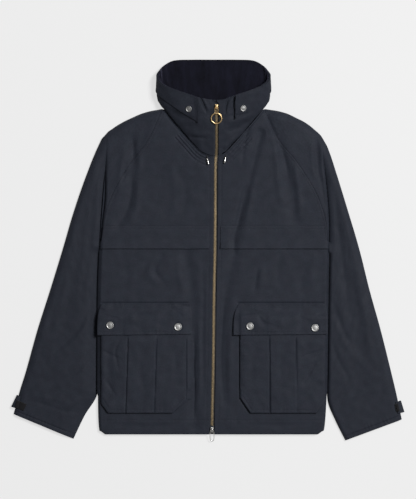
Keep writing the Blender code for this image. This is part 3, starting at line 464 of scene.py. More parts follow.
def makeDrawcords():
    for side, (x, y) in drawcord["eyelets"].items():
        lean, r, far = drawcord["lean"][side], drawcord["tipRadius"], drawcord["tipLong"]
        route = [(x + lean * max(-ahead, 0), y + ahead, z) for ahead, z in drawcord["route"]]
        made = braidedTube(f"drawcord{side}", route, drawcord["radius"])
        end = (route[-1][0], route[-1][1] - drawcord["tipGap"], route[-1][2])
        profile = [(r * 0.72, 0.0), (r * 0.9, 0.15), (r, 0.6), (r, 1.6), (r * 0.88, 2.0), (r * 0.88, 2.5),
                   (r, 2.9), (r, far - 1.8), (r * 0.94, far - 0.9), (r * 0.72, far - 0.25), (r * 0.4, far)]
        tip = lathe(f"cordTip{side}", profile, 28, "nickel", end, (lean, -1, 0), 35)


makeDrawcords()
print("drawcords made")


# The jacket's form
form = {
    "cloth": 1.6, "collarCloth": 2.0, "lining": 1.2, "bandCloth": 1.8, "flapCloth": 1.8, "pocketCloth": 2.6,
    "lie": 0.35, "seam": 0.4,
    "bodyHigh": 14.0, "hemHigh": 10.5, "hemRise": 70.0,
    "sleeveHigh": 13.0, "cuffHigh": 10.0, "cuffRise": 90.0,
    "neckRise": 5.0, "neckY": 720.0, "neckRadius": 110.0, "neckBackY": 709.0,
    "sideRound": 7.0, "armRound": 17.0, "backIn": 0.993, "sideFoot": 2.1, "edgeFoot": 2.0, "creaseFoot": 4.6,
    # how wide and how steep the sleeve's rounding is along its inner edge and its crease
    "innerRound": {"Right": (34.0, 2.6), "Left": (8.0, 1.0)},
    "creaseRound": {"Right": (28.0, 2.2), "Left": (17.0, 1.0)},
    "creaseFades": (545.0, 655.0), "zipHalf": 5.5, "hemLineY": 31.0, "yokeLowY": 409.0, "yokeTopY": 458.0,
    "underarmY": 424.0, "collarFrontY": 611.0, "cell": 1.9, "sleeveGap": 0.9,
    "overhang": {"Right": 3.0, "Left": 1.7}, "creaseShare": 1.5,
    # how deep the sewing pulls at the neck and beside the pocket
    "neckShare": {"Right": 1.8, "Left": 0.9}, "footShare": {"Right": 0.6, "Left": 1.6},
}
Edge = namedtuple("Edge", "y out")
Point = namedtuple("Point", "out y")
Section = namedtuple("Section", "outerOut outerY innerOut innerY")
Station = namedtuple("Station", "seamOut seamY seamZ rimOut rimY rimZ")
Fold = namedtuple("Fold", "width depth path")


def folds(*rows):
    # each row is a fold's width and depth, and the (out, y) points that it runs through
    return [Fold(width, depth, tuple(path)) for width, depth, *path in rows]



sideLine = {
    "Right": rowsOf(Edge,
        (0, 240), (6, 247), (14, 252.5), (87, 254.8), (296, 253.6), (386, 251), (450, 247), (516, 239.5),
        (582, 237.8), (641, 234), (670, 232)),
    "Left": rowsOf(Edge,
        (0, 231), (6, 238.5), (14, 244.5), (76, 249), (186, 251), (296, 252.2), (417, 254.4), (460, 255),
        (516, 252), (582, 245), (641, 237), (662, 233.5)),
}
raglan = {
    "Right": rowsOf(Point,
        (248, 424), (239, 482), (218, 537), (181, 600), (143, 649), (112, 716)),
    "Left": rowsOf(Point,
        (252, 424), (245, 478), (223, 537), (183, 600), (143, 649), (112, 716)),
}
neckLine = rowsOf(Point,
    (5.5, 611), (27, 621), (47, 642), (68, 666), (90, 691), (108, 713))
zipLine = rowsOf(Edge,
    (-5, -3.6), (76, -2), (186, 0), (296, 1.1), (406, 3.3), (516, 4.2), (593, 4.6), (626, 6.6), (670, 6.8),
    (740, 6.2))
sleeveRows = {      # five rows on the chest, one in the crease, and the rest along the arm
    "Right": rowsOf(Section,
        (112, 717, 249.5, 423), (149, 709.5, 249.9, 418), (182, 696.3, 250.3, 413), (208, 683, 250.7, 408),
        (226, 671, 251, 403), (232, 667, 251.3, 400), (239, 659, 251.6, 396), (250, 643.5, 252, 386),
        (276, 582, 252.8, 360), (307, 494, 254, 310), (333, 406, 255, 250), (360, 318, 255, 190),
        (388, 230, 255, 135), (412.5, 142, 257, 86), (428, 92, 284, 41), (441, 43, 309.5, -12)),
    "Left": rowsOf(Section,
        (112, 717, 253.6, 423), (153, 709.5, 254.4, 418), (184, 696.3, 255, 413), (208, 683, 255.2, 408),
        (230, 665, 255.2, 403), (237, 658, 255.1, 400), (242, 650, 255.1, 396), (254, 626, 255, 386),
        (271, 575, 254.5, 360), (296, 494, 253.5, 310), (322, 406, 252.6, 250), (344, 318, 252, 190),
        (368.5, 230, 251.3, 135), (390.5, 142, 251.3, 75), (404, 85, 268, 31), (415.4, 31, 291, -15)),
}

# The largest folds, which the solids have too: soft troughs through (out, y) points
mainFolds = {
    "Left": folds(
        (9, 4.0, (104, 663), (94, 619), (85, 575), (74, 531), (54, 465), (45, 441), (46, 400)),
        (12, 2.6, (46, 400), (25, 296), (19, 208), (27, 76)),
        (15, 3.2, (120, 700), (132, 674), (144, 637), (157, 588), (166, 551), (174, 516), (179, 472)),
        (16, 1.6, (224, 655), (228, 556)), (20, 1.8, (300, 420), (318, 250), (325, 90))),
    "Right": folds(
        (12, 2.2, (178, 648), (182, 527), (208, 462)), (13, 2.6, (60, 396), (47, 300), (42, 160), (43, 20)),
        (18, 1.6, (282, 520), (300, 380), (330, 240))),
}

Pocket = namedtuple("Pocket", "faceIn faceOut gussetIn pleatIn pleatOut cutIn cutOut flapIn flapOut")
pocketOf = {
    "Right": Pocket(59.4, 248.6, 11.0, 127, 190, Point(31, 31), Point(17, 24), 47, 255),
    "Left": Pocket(60.6, 247.5, 2.4, 123, 182, Point(21, 31), Point(21, 28), 44, 250.5),
}
pocket = {
    "lowY": 49.5, "topY": 262.0, "lift": 3.0, "pleatRaise": 1.0, "gusset": 2.8,
    "flapLowY": 220.0, "flapTopY": 288.0,
    "underFlap": (203.0, 219.0), "bulge": 1.5, "cell": 1.7,
    "grooveDeep": 1.6, "grooveWide": 1.5, "lean": {"Right": 3.2, "Left": 1.0},
}

# Smaller creases, soft at both ends; a negative depth is a ridge
creases = {
    "Left": folds(
        (3.6, 1.9, (116, 712), (126, 684), (141, 652)), (5.5, 1.4, (141, 652), (156, 610), (166, 560)),
        (8, -1.5, (106, 716), (132, 650), (142, 570), (150, 500)),
        (7, -1.3, (176, 600), (186, 540), (190, 470)), (4.5, 1.0, (87, 700), (70, 650), (62, 590)),
        (8, -1.3, (104, 640), (86, 560), (74, 480), (66, 420)), (5, 1.2, (71, 556), (60, 500), (52, 450)),
        (5, 1.0, (98, 368), (94, 340), (91, 316)), (7, -0.8, (110, 376), (104, 340), (104, 306)),
        (9, 0.7, (150, 400), (142, 350), (150, 310)), (10, 0.7, (205, 380), (192, 330), (205, 300)),
        (10, -0.7, (226, 400), (216, 350), (228, 300)),
        (6, 1.5, (226, 658), (229, 625), (230, 585), (236, 552)),
        (6, -1.0, (216, 650), (217, 600), (224, 560)), (5, 0.9, (236, 570), (242, 530), (247, 490)),
        (4, 1.0, (24, 300), (18, 220), (16, 150), (22, 60)), (7, -0.9, (38, 230), (34, 140), (37, 40)),
        (6, 0.8, (90, 24), (150, 20), (220, 26))),
    "Right": folds(
        (3.0, 2.2, (30, 621), (46, 638), (67, 662), (89, 687), (107, 709)),
        (5, 1.5, (177, 652), (176, 628), (175, 600)), (7, -0.9, (166, 650), (163, 600), (168, 560)),
        (5, 1.3, (193, 602), (198, 570), (203, 552)),
        (6, 1.5, (180, 570), (181, 540), (188, 500), (202, 468)),
        (8, -1.1, (196, 640), (204, 560), (214, 500)), (7, -1.0, (166, 560), (170, 500), (186, 464)),
        (7, 0.9, (140, 690), (160, 640), (170, 600)),
        (6, 1.1, (109, 397), (129, 366), (118, 344), (102, 328)),
        (7, -0.8, (122, 392), (142, 362), (124, 326)), (9, 0.6, (200, 400), (190, 350), (204, 306)),
        (9, 0.7, (72, 580), (62, 530), (70, 470)), (9, -0.8, (96, 600), (84, 540), (92, 480)),
        (7, -0.8, (80, 370), (66, 310)), (2.2, 2.0, (44, 220), (41, 180), (43, 150), (41, 90), (43, 36)),
        (5, -1.0, (33, 250), (31, 150), (33, 50)), (5, 0.9, (26, 380), (22, 300), (24, 200), (20, 80)),
        (6, 0.8, (80, 22), (150, 18), (225, 24))),
}


def lineOut(rows, y):
    curve = smooth(rows, 240)
    return np.interp(y, curve[:, 0], curve[:, 1])


def zipX(y):
    return lineOut(zipLine, y)


def centreOut(side, y, beside=0.0):
    # a front's edge along the zip, or a line beside it
    return form["zipHalf"] + beside + signOf[side] * zipX(y)


def bodyHigh(out, y):
    hem = form["hemHigh"] + (form["bodyHigh"] - form["hemHigh"]) * quarterRound(y, form["hemRise"])
    fromNeck = np.hypot(out, y - form["neckY"])
    return hem + form["neckRise"] * ease((2 * form["neckRadius"] - fromNeck) / form["neckRadius"])


def nearFold(path, out, y, far):
    # which points lie in the path's own rectangle, widened by far, and where they are beside the path
    low, high = path.min(axis=0) - far, path.max(axis=0) + far
    near = (out > low[0]) & (out < high[0]) & (y > low[1]) & (y < high[1])
    return near, *nearPath(path, out[near], y[near])


def foldDepth(side, out, y):
    depth = np.zeros(np.shape(out))
    for fold in mainFolds[side]:
        near, away, _, _ = nearFold(smooth(fold.path, 10), out, y, 2.6 * fold.width)
        depth[near] = np.maximum(depth[near], fold.depth * np.exp(-((away / fold.width) ** 2)))
    return depth


def creaseDepth(rows, out, y):
    depth = np.zeros(np.shape(out))
    for fold in rows:
        near, away, along, length = nearFold(smooth(fold.path, 12), out, y, 2.6 * fold.width)
        fade = np.sin(math.pi * np.clip(along / length, 0, 1)) ** 0.6
        depth[near] += form["creaseShare"] * fold.depth * fade * np.exp(-((away / fold.width) ** 2))
    return depth


Sewn = namedtuple("Sewn", "deep pucker path")


def seamDepth(rows, out, y):
    # a row of sewing pulls the cloth down in a groove and puckers it a little on both sides
    depth = np.zeros(np.shape(out))
    for number, row in enumerate(rows):
        near, away, along, length = nearFold(np.asarray(row.path, float), out, y, 20.0)
        turns = 2 * math.pi * along / (11.0 + 2.3 * (number % 4)) + number
        strength = 0.5 + 0.5 * np.sin(along / 31.0 + 2.0 * number)
        pucker = row.pucker * strength * np.sin(turns + 2.2 * np.sin(turns / 3.7 + 1.0))
        pucker = pucker * np.exp(-((away / 8.0) ** 2))
        ends = np.clip(np.minimum(along, length - along) / 4.0 + 0.3, 0, 1)
        depth[near] += row.deep * ends * np.exp(-((away / 1.5) ** 2)) + pucker
    return depth


waves = np.random.default_rng(7).uniform(0, 2 * math.pi, (14, 3))      # directions and phases of soft waves


def softWaves(x, y, high=0.18, least=22.0, most=85.0):
    # a close woven cloth never lies quite flat
    total = np.zeros(np.shape(x))
    for number, (turn, first, second) in enumerate(waves):
        pitch = least + (most - least) * number / len(waves)
        far = x * math.cos(turn) + y * math.sin(turn)
        beside = y * math.cos(turn) - x * math.sin(turn)
        sway = 1.4 * np.sin(2 * math.pi * beside / (2.3 * pitch) + second)
        total += np.sin(2 * math.pi * far / pitch + first + sway)
    return high * total / math.sqrt(len(waves))


def creaseFoot(y):
    low, high = form["creaseFades"]
    return form["creaseFoot"] + (form["bodyHigh"] - form["creaseFoot"]) * ease((y - low) / (high - low))


@functools.cache
def frontSeams(side):
    # rows of sewing on a front: hem, zip, raglan seam, storm flap, neck seam, channel, pocket and its flap
    p, low, yoke, hem = pocketOf[side], pocket["lowY"] - 1, form["yokeTopY"], form["hemLineY"]
    seam, neck, foot = smooth(raglan[side], 40), smooth(neckLine, 30), p.faceIn - p.gussetIn - 1.0
    share, footShare, flapY = form["neckShare"][side], form["footShare"][side], pocket["flapTopY"] + 1.8
    return [Sewn(0.5, 0.14, [(8, hem), (252, hem)]),
            Sewn(0.4, 0.12, [(centreOut(side, y, 7.5), y) for y in np.linspace(2, 604, 40)]),
            Sewn(0.35, 0.1, seam), Sewn(0.25, 0.1, besideLine(seam, 5.5)),
            *[Sewn(0.45, 0.05, [(14, yoke - down), (246, yoke - down)]) for down in (0.0, 6.0)],
            Sewn(1.2 * share, 0.2, besideLine(neck, -2.0)),
            *[Sewn(1.0 * share, 0.3, besideLine(neck, -far)[:18]) for far in (8.0, 14.5, 21.0)],
            Sewn(footShare, 0.1, [(foot, 216), (foot, low + 31), (foot + p.cutIn.out, low)]),
            Sewn(1.8, 0.2, [(p.flapIn + 8, flapY), (p.flapOut - 6, flapY)])]


def besideLine(path, far):
    # a line beside a path, far to its left
    course = np.gradient(path, axis=0)
    left = np.stack([-course[:, 1], course[:, 0]], axis=1) / np.linalg.norm(course, axis=1, keepdims=True)
    return path + left * far


def frontHeight(side, out, y):
    # outer surface of a front, and of the chest part of a sleeve
    out, y = np.asarray(out, float), np.asarray(y, float)
    high = bodyHigh(out, y) - foldDepth(side, out, y) - creaseDepth(creases[side], out, y)
    high = high + softWaves(signOf[side] * out, y) - seamDepth(frontSeams(side), out, y)
    away = np.abs(lineOut(sideLine[side], y) - out)
    foot = np.minimum(np.where(y < form["underarmY"], form["sideFoot"], creaseFoot(y)), high)
    return outerRounding(side, out, y, foot + (high - foot) * quarterRound(away, form["sideRound"]))


def outerLine(side):
    return [(row.outerOut, row.outerY) for row in sleeveRows[side]]


def keptClear(side, ends):
    # the inner ends of a sleeve's sections keep their gap from the body
    ends[:, 2] = np.maximum(ends[:, 2], lineOut(sideLine[side], ends[:, 3]) + form["sleeveGap"])
    return ends


@functools.cache
def innerLine(side):
    arm = spline(sleeveRows[side][6:], 25)
    return [tuple(end[2:]) for end in keptClear(side, arm)]


def armHeight(side, out, y):
    along = ease((outerLine(side)[-1][1] + form["cuffRise"] * 1.3 - y) / (form["cuffRise"] * 1.6))
    high = form["sleeveHigh"] + (form["cuffHigh"] - form["sleeveHigh"]) * along - foldDepth(side, out, y)
    high = high - creaseDepth(armCreases[side], out, y) + softWaves(signOf[side] * out, y, 0.3)
    high = high - seamDepth([Sewn(1.2, 0.3, cuffLine(side))], out, y)
    crease = [(lineOut(sideLine[side], v), v) for v in np.linspace(660, form["underarmY"], 8)]
    rounded = []
    for foot, line, key in ((np.minimum(creaseFoot(y), high), crease, "creaseRound"),
                            (form["edgeFoot"], innerLine(side), "innerRound")):
        wide, power = form[key][side]
        rounded.append(foot + (high - foot) * quarterRound(nearPath(line, out, y)[0], wide) ** power)
    return outerRounding(side, out, y, np.minimum(*rounded))


def outerRounding(side, out, y, high):
    away = nearPath(outerLine(side), out, y)[0]
    return form["edgeFoot"] + (high - form["edgeFoot"]) * quarterRound(away, form["armRound"])


def cuffLine(side):
    # where a cuff's row of sewing runs, in from its open end
    last, before = np.array(sleeveRows[side][:-3:-1], float)
    return (last + (before - last) * 0.2).reshape(2, 2)


armCreases = {
    "Left": folds(
        (8, 1.6, (262, 560), (276, 440), (290, 330), (300, 250)),
        (10, -1.4, (285, 520), (310, 380), (335, 250), (350, 160)),
        (9, 1.0, (300, 470), (330, 340), (356, 230)), (7, 1.4, (260, 300), (284, 230), (318, 160)),
        (9, -1.1, (268, 250), (300, 190), (340, 140)), (6, 1.0, (258, 210), (276, 160), (300, 120)),
        (5, 0.3, (272, 60), (300, 66), (340, 84), (380, 92)), (6, -0.3, (276, 72), (330, 92), (376, 104))),
    "Right": folds(
        (8, 1.6, (262, 560), (272, 420), (292, 290)), (11, -1.3, (284, 560), (316, 400), (352, 240)),
        (9, 1.0, (304, 450), (334, 330), (368, 210)), (7, 1.3, (264, 320), (292, 240), (350, 180)),
        (9, -1.1, (266, 260), (310, 200), (370, 160)), (6, 1.0, (264, 190), (300, 140), (340, 112)),
        (5, 0.7, (296, 48), (330, 52), (360, 62), (404, 76)), (6, -0.5, (300, 62), (350, 76), (404, 90))),
}


# Fronts, storm flaps and back
def frontEdges(side, cell):
    # the centre edge and the outer edge of a front, row by row, as (out, y)
    top, path, neckY = form["yokeTopY"], smooth(raglan[side], 90), form["collarFrontY"]
    lower = np.linspace(0, top, oddCount(top / cell))
    outside, chest = lineOut(sideLine[side], lower), np.array(sleeveRows[side][4::-1])[:, 2:]
    beside = np.minimum(outside, np.interp(lower, chest[:, 1], chest[:, 0]) - form["seam"])
    outside = np.where(lower <= form["yokeLowY"], outside, beside)
    outside = np.where(lower < form["underarmY"], outside, np.interp(lower, path[:, 1], path[:, 0]))
    upper = oddCount(292 / cell) - 1
    zipRows = round(upper * 0.48)
    toNeck = evenly([(centreOut(side, y), y) for y in np.linspace(top, neckY, 24)], zipRows + 1)[1:]
    neck = spline([(centreOut(side, neckY), neckY), *neckLine[1:]], upper - zipRows + 1)[1:]
    seam = evenly([(outside[-1], top), *path[path[:, 1] > top + 2]], upper + 1)[1:]
    centre = [*zip(centreOut(side, lower), lower), *toNeck, *neck]
    return np.array(centre), np.array([*zip(outside, lower), *seam])


def makeFront(side):
    centre, outside = frontEdges(side, form["cell"])
    widest = np.max(outside[:, 0])
    share = roundedShares(2.0 / widest, form["sideRound"] / widest, oddCount(widest / form["cell"]))
    share = share[None, :, None]
    plan = centre[:, None, :] * (1 - share) + outside[:, None, :] * share
    out, y = plan[..., 0], plan[..., 1]
    high, uv = frontHeight(side, out, y), signed(plan, side) * mm
    climb = (high - form["sideFoot"]) / (form["bodyHigh"] - 2.0 - form["sideFoot"])
    beside = (lineOut(sideLine[side], y) - out < form["sideRound"]) & (y < form["underarmY"])
    bulge = np.sin(math.pi * np.clip(climb, 0, 1)) * beside
    plan[..., 0] += form["overhang"][side] * bulge * ease((y - 82) / 12)
    grid = signed(np.dstack([plan, high]), side)
    shell(f"front{side}", grid, movedOut(grid, -form["cloth"]), uv=uv)


def makeStormFlap(side):
    # sewn in above and free below, it follows the front's own surface, moved out
    low, top = form["yokeLowY"], form["yokeTopY"]
    centre, outside = frontEdges(side, form["cell"])
    rows = [k for k, (_, y) in enumerate(centre) if low - 0.5 <= y <= top + 0.01]
    rows = rows[len(rows) % 2 == 0:]
    share = np.linspace(0.026, 0.99, oddCount(236 / form["cell"]))[None, :, None]
    plan = centre[rows][:, None, :] * (1 - share) + outside[rows][:, None, :] * share
    grid = signed(np.dstack([plan, frontHeight(side, plan[..., 0], plan[..., 1])]), side)
    under = movedOut(grid, form["lie"])
    up = (under[..., 1] - low) / (top - low)
    under[..., 2] += 2.4 * np.clip(1 - up * 2.2, 0, 1) ** 1.5      # its lower edge stands off a little
    over = movedOut(under, form["flapCloth"])
    shell(f"stormFlap{side}", over, under, uv=under[..., :2] * mm)


def makeBack():
    left, right = (frontEdges(side, 6.0)[1] for side in signOf)
    count, share, rows = min(len(left), len(right)), np.linspace(0, 1, 61), []
    for index, (a, b) in enumerate(zip(right[:count], left[:count])):
        x = (-a[0] + share * (a[0] + b[0])) * form["backIn"]
        climb = ease((index / (count - 1) * 31 - 25) / 6)
        dip = (raglan["Left"][-1].y - form["neckBackY"]) * climb * (1 - (x / 112.0) ** 2)
        rows.append(np.stack([x, a[1] + share * (b[1] - a[1]) - np.maximum(dip, 0), 0 * x], axis=1))
    under = np.array(rows)[:count - (count + 1) % 2]
    shell("backPanel", under + [0, 0, form["cloth"]], under, uv=under[..., :2] * mm)


makeBack()
for side in signOf:
    makeFront(side)
    makeStormFlap(side)
print("body made")


# Sleeves: the front one arches over the back one, which lies flat
sleeve = {"cell": 2.1, "columns": 105, "backColumns": 33}


def sleeveRings(side, cell):
    # (number along the sleeve, outer and inner point), close together
    rows = sleeveRows[side]
    chest = spline(rows[:5], round(126 / cell))
    arm = keptClear(side, spline(rows[6:], oddCount(640 / cell)))
    crease = [chest[-1], *keptClear(side, np.array([rows[5], arm[0]], float))]
    rings = [(8 * k / (len(chest) - 1), end) for k, end in enumerate(chest)]
    for number, (a, b) in enumerate(zip(crease, crease[1:])):
        rings += [(8 + number + t, a + (b - a) * t) for t in np.linspace(0, 1, 6)[1:]]
    rings += [(10 + k, end) for k, end in enumerate(arm)][1:]
    return rings[:len(rings) - (len(rings) + 1) % 2]


def ringPlan(side, number, end, share):
    share = share[:, None]
    straight = end[:2] * (1 - share) + end[2:] * share
    if number >= 9:
        return straight
    path = smooth(raglan[side][::-1], 90)
    line = besideLine(path, form["seam"]) if number == 0 else path
    along = np.linspace(0, 1, len(path))
    on = np.stack([np.interp(share[:, 0], along, line[:, k]) for k in range(2)], axis=1)
    if number == 0:
        return on
    return straight + (on - (path[:1] * (1 - share) + path[-1:] * share)) * (1 - number / 9.0)


def makeSleeve(side):
    rings = sleeveRings(side, sleeve["cell"])
    plans, inward, below = [], [], []
    for number, end in rings:
        wide = np.linalg.norm(end[:2] - end[2:])
        turn = min(form["armRound"] / wide, 0.45)
        share = roundedShares(turn, turn, sleeve["columns"], 13)
        plan = ringPlan(side, number, end, share)
        plans.append(plan)
        inward.append(plan + (plan[-1] - plan[0]) * (form["cloth"] / wide) * (1 - 2 * share[:, None]))
        below.append(ringPlan(side, number, end, 0.006 + 0.988 * np.linspace(0, 1, sleeve["backColumns"])))
    plans, chest = np.array(plans), np.array([number <= 9 for number, _ in rings])
    high = np.concatenate([frontHeight(side, plans[chest][..., 0], plans[chest][..., 1]),
                           armHeight(side, plans[~chest][..., 0], plans[~chest][..., 1])])
    high[:, 0] = high[:, -1] = form["edgeFoot"]
    outside = signed(np.dstack([plans, high]), side)
    inside = signed(np.dstack([np.array(inward), np.maximum(high - form["cloth"], form["edgeFoot"])]), side)
    shell(f"sleeveFront{side}", outside, inside)
    below = np.array(below)
    below = signed(np.dstack([below, np.zeros(below.shape[:2])]), side)
    last, below = below[-1], below[::4]
    below = below[:len(below) - (len(below) + 1) % 2]
    below[-1] = last
    shell(f"sleeveBack{side}", below + [0, 0, form["cloth"]], below)


for side in signOf:
    makeSleeve(side)
print("sleeves made")


# Collar: half of it, from the zip round to the centre back
collarRows = rowsOf(Station,
    (5.5, 612.6, 19, 5.5, 734, 45), (16, 617.3, 19, 18, 735.5, 45.3), (27, 623.4, 19, 33, 739.5, 45.6),
    (38, 634.4, 19, 48.5, 744.7, 45.6), (47, 643.9, 19, 62, 749, 45), (68, 667.9, 19, 88, 758, 43),
    (89, 692.3, 18.6, 108, 767, 39), (101, 709, 16, 119.5, 777, 32), (105.5, 717.5, 10.5, 123.5, 788, 23),
    (102, 717.8, 4.6, 120, 800, 14), (88, 715, 2.2, 108, 813, 7.5), (70, 713, 0.6, 86, 823.4, 5),
    (35, 711, 0.4, 45, 825, 4.5), (0, 710.4, 0.4, 0, 825, 4.4))
collar = {
    "bandLow": 45.0, "bandHigh": 2.0, "bulge": 3.5, "bandStart": {"Right": 2, "Left": 3},
    "rows": 57, "columnsBetween": 12, "endLift": {"Left": 6.0, "Right": 3.4}, "meet": 4.2,
    "endShift": {"Left": 3.6, "Right": -2.0},      # of the low corner of a band's end
    # the collar rolls outwards at its sides: share of the height and how far; how much of it by station
    "roll": ((0.0, 0.08, 0.24, 0.4, 0.68, 1.0), (0.0, 8.0, 13.0, 12.0, 7.0, 0.0)),
    "rollAt": {5: 0.1, 6: 0.4, 7: 0.8, 8: 1.0, 9: 0.8, 10: 0.3, 11: 0.1},
}


def collarColumn(number, row, sign, shares):
    besideZip = sign if number < 2 else 0.0
    moved = besideZip * zipX(row.seamY)
    climb = 0.55 if moved > 0 else 0.3
    seam = np.array([row.seamOut + moved, row.seamY + number * moved * climb, row.seamZ])
    rim = np.array([row.rimOut + besideZip * zipX(row.rimY), row.rimY, row.rimZ])
    column = seam * (1 - shares[:, None]) + rim * shares[:, None]
    column[:, 2] += collar["bulge"] * np.sin(math.pi * shares) * np.clip((9 - number) / 4.0, 0, 1)
    column[:, 0] += collar["rollAt"].get(number, 0.0) * np.interp(shares, *collar["roll"])
    column[:, 0] -= collar["meet"] * (number == 0) * ease((shares - 0.935) / 0.04)      # above the zip
    return column, np.linalg.norm(rim - seam)


def collarGrid():
    # rows from the seam to the rim, columns from the left of the zip round the back to the right of it
    halves, shares = {}, np.linspace(0, 1, collar["rows"])
    for side, sign in signOf.items():
        made = [collarColumn(number, row, sign, shares)[0] for number, row in enumerate(collarRows)]
        halves[side] = throughRows(made, collar["columnsBetween"]) * [sign, 1, 1]
    return np.concatenate([halves["Left"], halves["Right"][-2::-1]]).transpose(1, 0, 2)


def collarRelief(grid):
    # soft folds across the collar's front, pulled from its snaps and from its seam
    out, y = grid[..., 0], grid[..., 1]
    front = ease((grid[..., 2] - 12.0) / 6.0)
    return front * (-creaseDepth(collarCreases, out, y) + softWaves(out, y * 1.2, 0.4, 18, 60))


collarCreases = folds(
    (3, 1.4, (-14, 651), (-34, 652), (-52, 654)), (5, -0.7, (-16, 660), (-36, 661), (-54, 664)),
    (8, 1.0, (-44, 690), (-66, 696), (-94, 708)), (7, -0.7, (-36, 702), (-62, 708), (-88, 720)),
    (7, 1.2, (-24, 676), (-50, 676), (-74, 684)), (3, 2.4, (62, 654), (46, 640), (30, 620)),
    (4, -1.2, (56, 660), (40, 646), (22, 628)), (6, 1.4, (22, 668), (50, 672), (80, 690)),
    (6, -1.1, (22, 684), (52, 690), (86, 706)), (3, 1.4, (34, 700), (58, 701), (78, 706)),
    (2.2, 2.0, (-7, 738), (3, 724), (10, 716)), (2.0, 3.0, (-31, 741), (-24, 726), (-15, 706)),
    (2.2, 3.4, (45, 742), (45.5, 720), (45, 696)), (2.4, -1.2, (-26, 741), (-17, 726), (-10, 712)),
    (2.2, 1.8, (48, 743), (33, 736), (27, 722), (26, 702)),
    (2.4, -1.0, (52, 738), (38, 731), (32, 720), (31, 704)))


def makeCollar():
    plain, thick, step, count = collarGrid(), form["collarCloth"], collar["columnsBetween"], collar["rows"]
    grid = plain + gridNormals(plain) * collarRelief(plain)[..., None]
    shell("collarShell", grid, movedOut(plain, -thick), "collar")
    facing = movedOut(plain, -thick - form["lie"])
    uv = gridUv(facing)
    drape = liningRelief(uv)[..., None] * gridNormals(facing)
    facing, uv = (facing - drape)[:, step:-step], uv[:, step:-step]
    hidden = movedOut(plain, -thick - form["lie"] - 0.05)[:, step:-step]
    back = facing - gridNormals(plain)[:, step:-step] * form["lining"]
    shell("collarLining", hidden, back, "lining", uv=uv)
    length = collarColumn(5, collarRows[5], 1, np.linspace(0, 1, 3))[1]
    rows = np.linspace(1 - collar["bandLow"] / length, 1 - collar["bandHigh"] / length, 25) * (count - 1)
    under = movedOut(grid, form["lie"])
    after = [min(int(r) + 1, count - 1) for r in rows]
    under = np.stack([under[int(r)] * (1 - r % 1) + under[n] * (r % 1) for r, n in zip(rows, after)])
    ends = (collar["bandStart"][side] * step for side in signOf)
    under = under[:, next(ends):plain.shape[1] - next(ends)]
    up = np.linspace(0, 1, len(under))[:, None]
    for side, sign in signOf.items():
        near = np.clip(1 - np.arange(under.shape[1])[::sign] / 9.0, 0, 1) ** 1.5
        under[..., 2] += collar["endLift"][side] * near
        under[..., 0] += collar["endShift"][side] * near * (1 - up)
    band = shell("collarBand", movedOut(under, form["bandCloth"]), under, "collar")


def liningRelief(uv):
    # upright folds where the lining turns the two corners of the neck: along, width and depth
    u, v = uv[..., 0] / mm, uv[..., 1] / mm
    rows = [(138, 5, 3.0), (152, 5, 3.6), (170, 5, 2.8), (196, 6, 2.0), (226, 8, 1.2), (300, 9, 1.2),
            (330, 5, 1.8), (352, 5, 3.0), (370, 4, 3.0), (386, 5, 3.6), (402, 5, 3.0)]
    return sum(deep * np.exp(-(((u - along - 0.08 * (v - 60)) / wide) ** 2)) for along, wide, deep in rows)


makeCollar()
print("collar made")


# Pieces that lie on others
def treeOf(*names):
    points, faces = [], []
    for name in names:
        mesh, start = bpy.data.objects[name].data, len(points)
        points += [v.co / mm - Vector((centreX, hemY, 0.0)) for v in mesh.vertices]
        faces += [[start + k for k in p.vertices] for p in mesh.polygons]
    return BVHTree.FromPolygons(points, faces)


def topOf(tree, x, y):
    hit = tree.ray_cast(Vector((x, y, 90.0)), Vector((0, 0, -1)))[0]
    return hit.z if hit is not None else 0.0


pocketCreases = {      # pucker lines on each pocket's face
    "Right": folds(
        (3.5, 0.9, (202, 214), (216, 184), (208, 140)), (3.5, 0.8, (246, 186), (222, 174), (200, 164)),
        (3.5, 0.9, (238, 122), (228, 106), (214, 84)), (9, 1.2, (226, 214), (232, 150), (224, 80)),
        (7, 0.6, (90, 196), (82, 150), (88, 110)), (7, 0.5, (152, 190), (160, 140), (150, 90))),
    "Left": folds(
        (3.5, 0.9, (190, 170), (214, 178), (242, 186)), (4, -0.5, (192, 150), (216, 162), (242, 172)),
        (3.5, 1.0, (196, 112), (212, 138), (226, 162)), (4, 0.7, (206, 84), (222, 104), (242, 116)),
        (7, 0.6, (96, 200), (84, 150), (90, 100)), (7, 0.5, (156, 196), (146, 140), (154, 96))),
}


def laidHeight(side, out, y):
    # the front's height for what lies on it, which runs on level over the rounded side
    return frontHeight(side, np.minimum(out, lineOut(sideLine[side], y) - form["sideRound"]), y) + form["lie"]


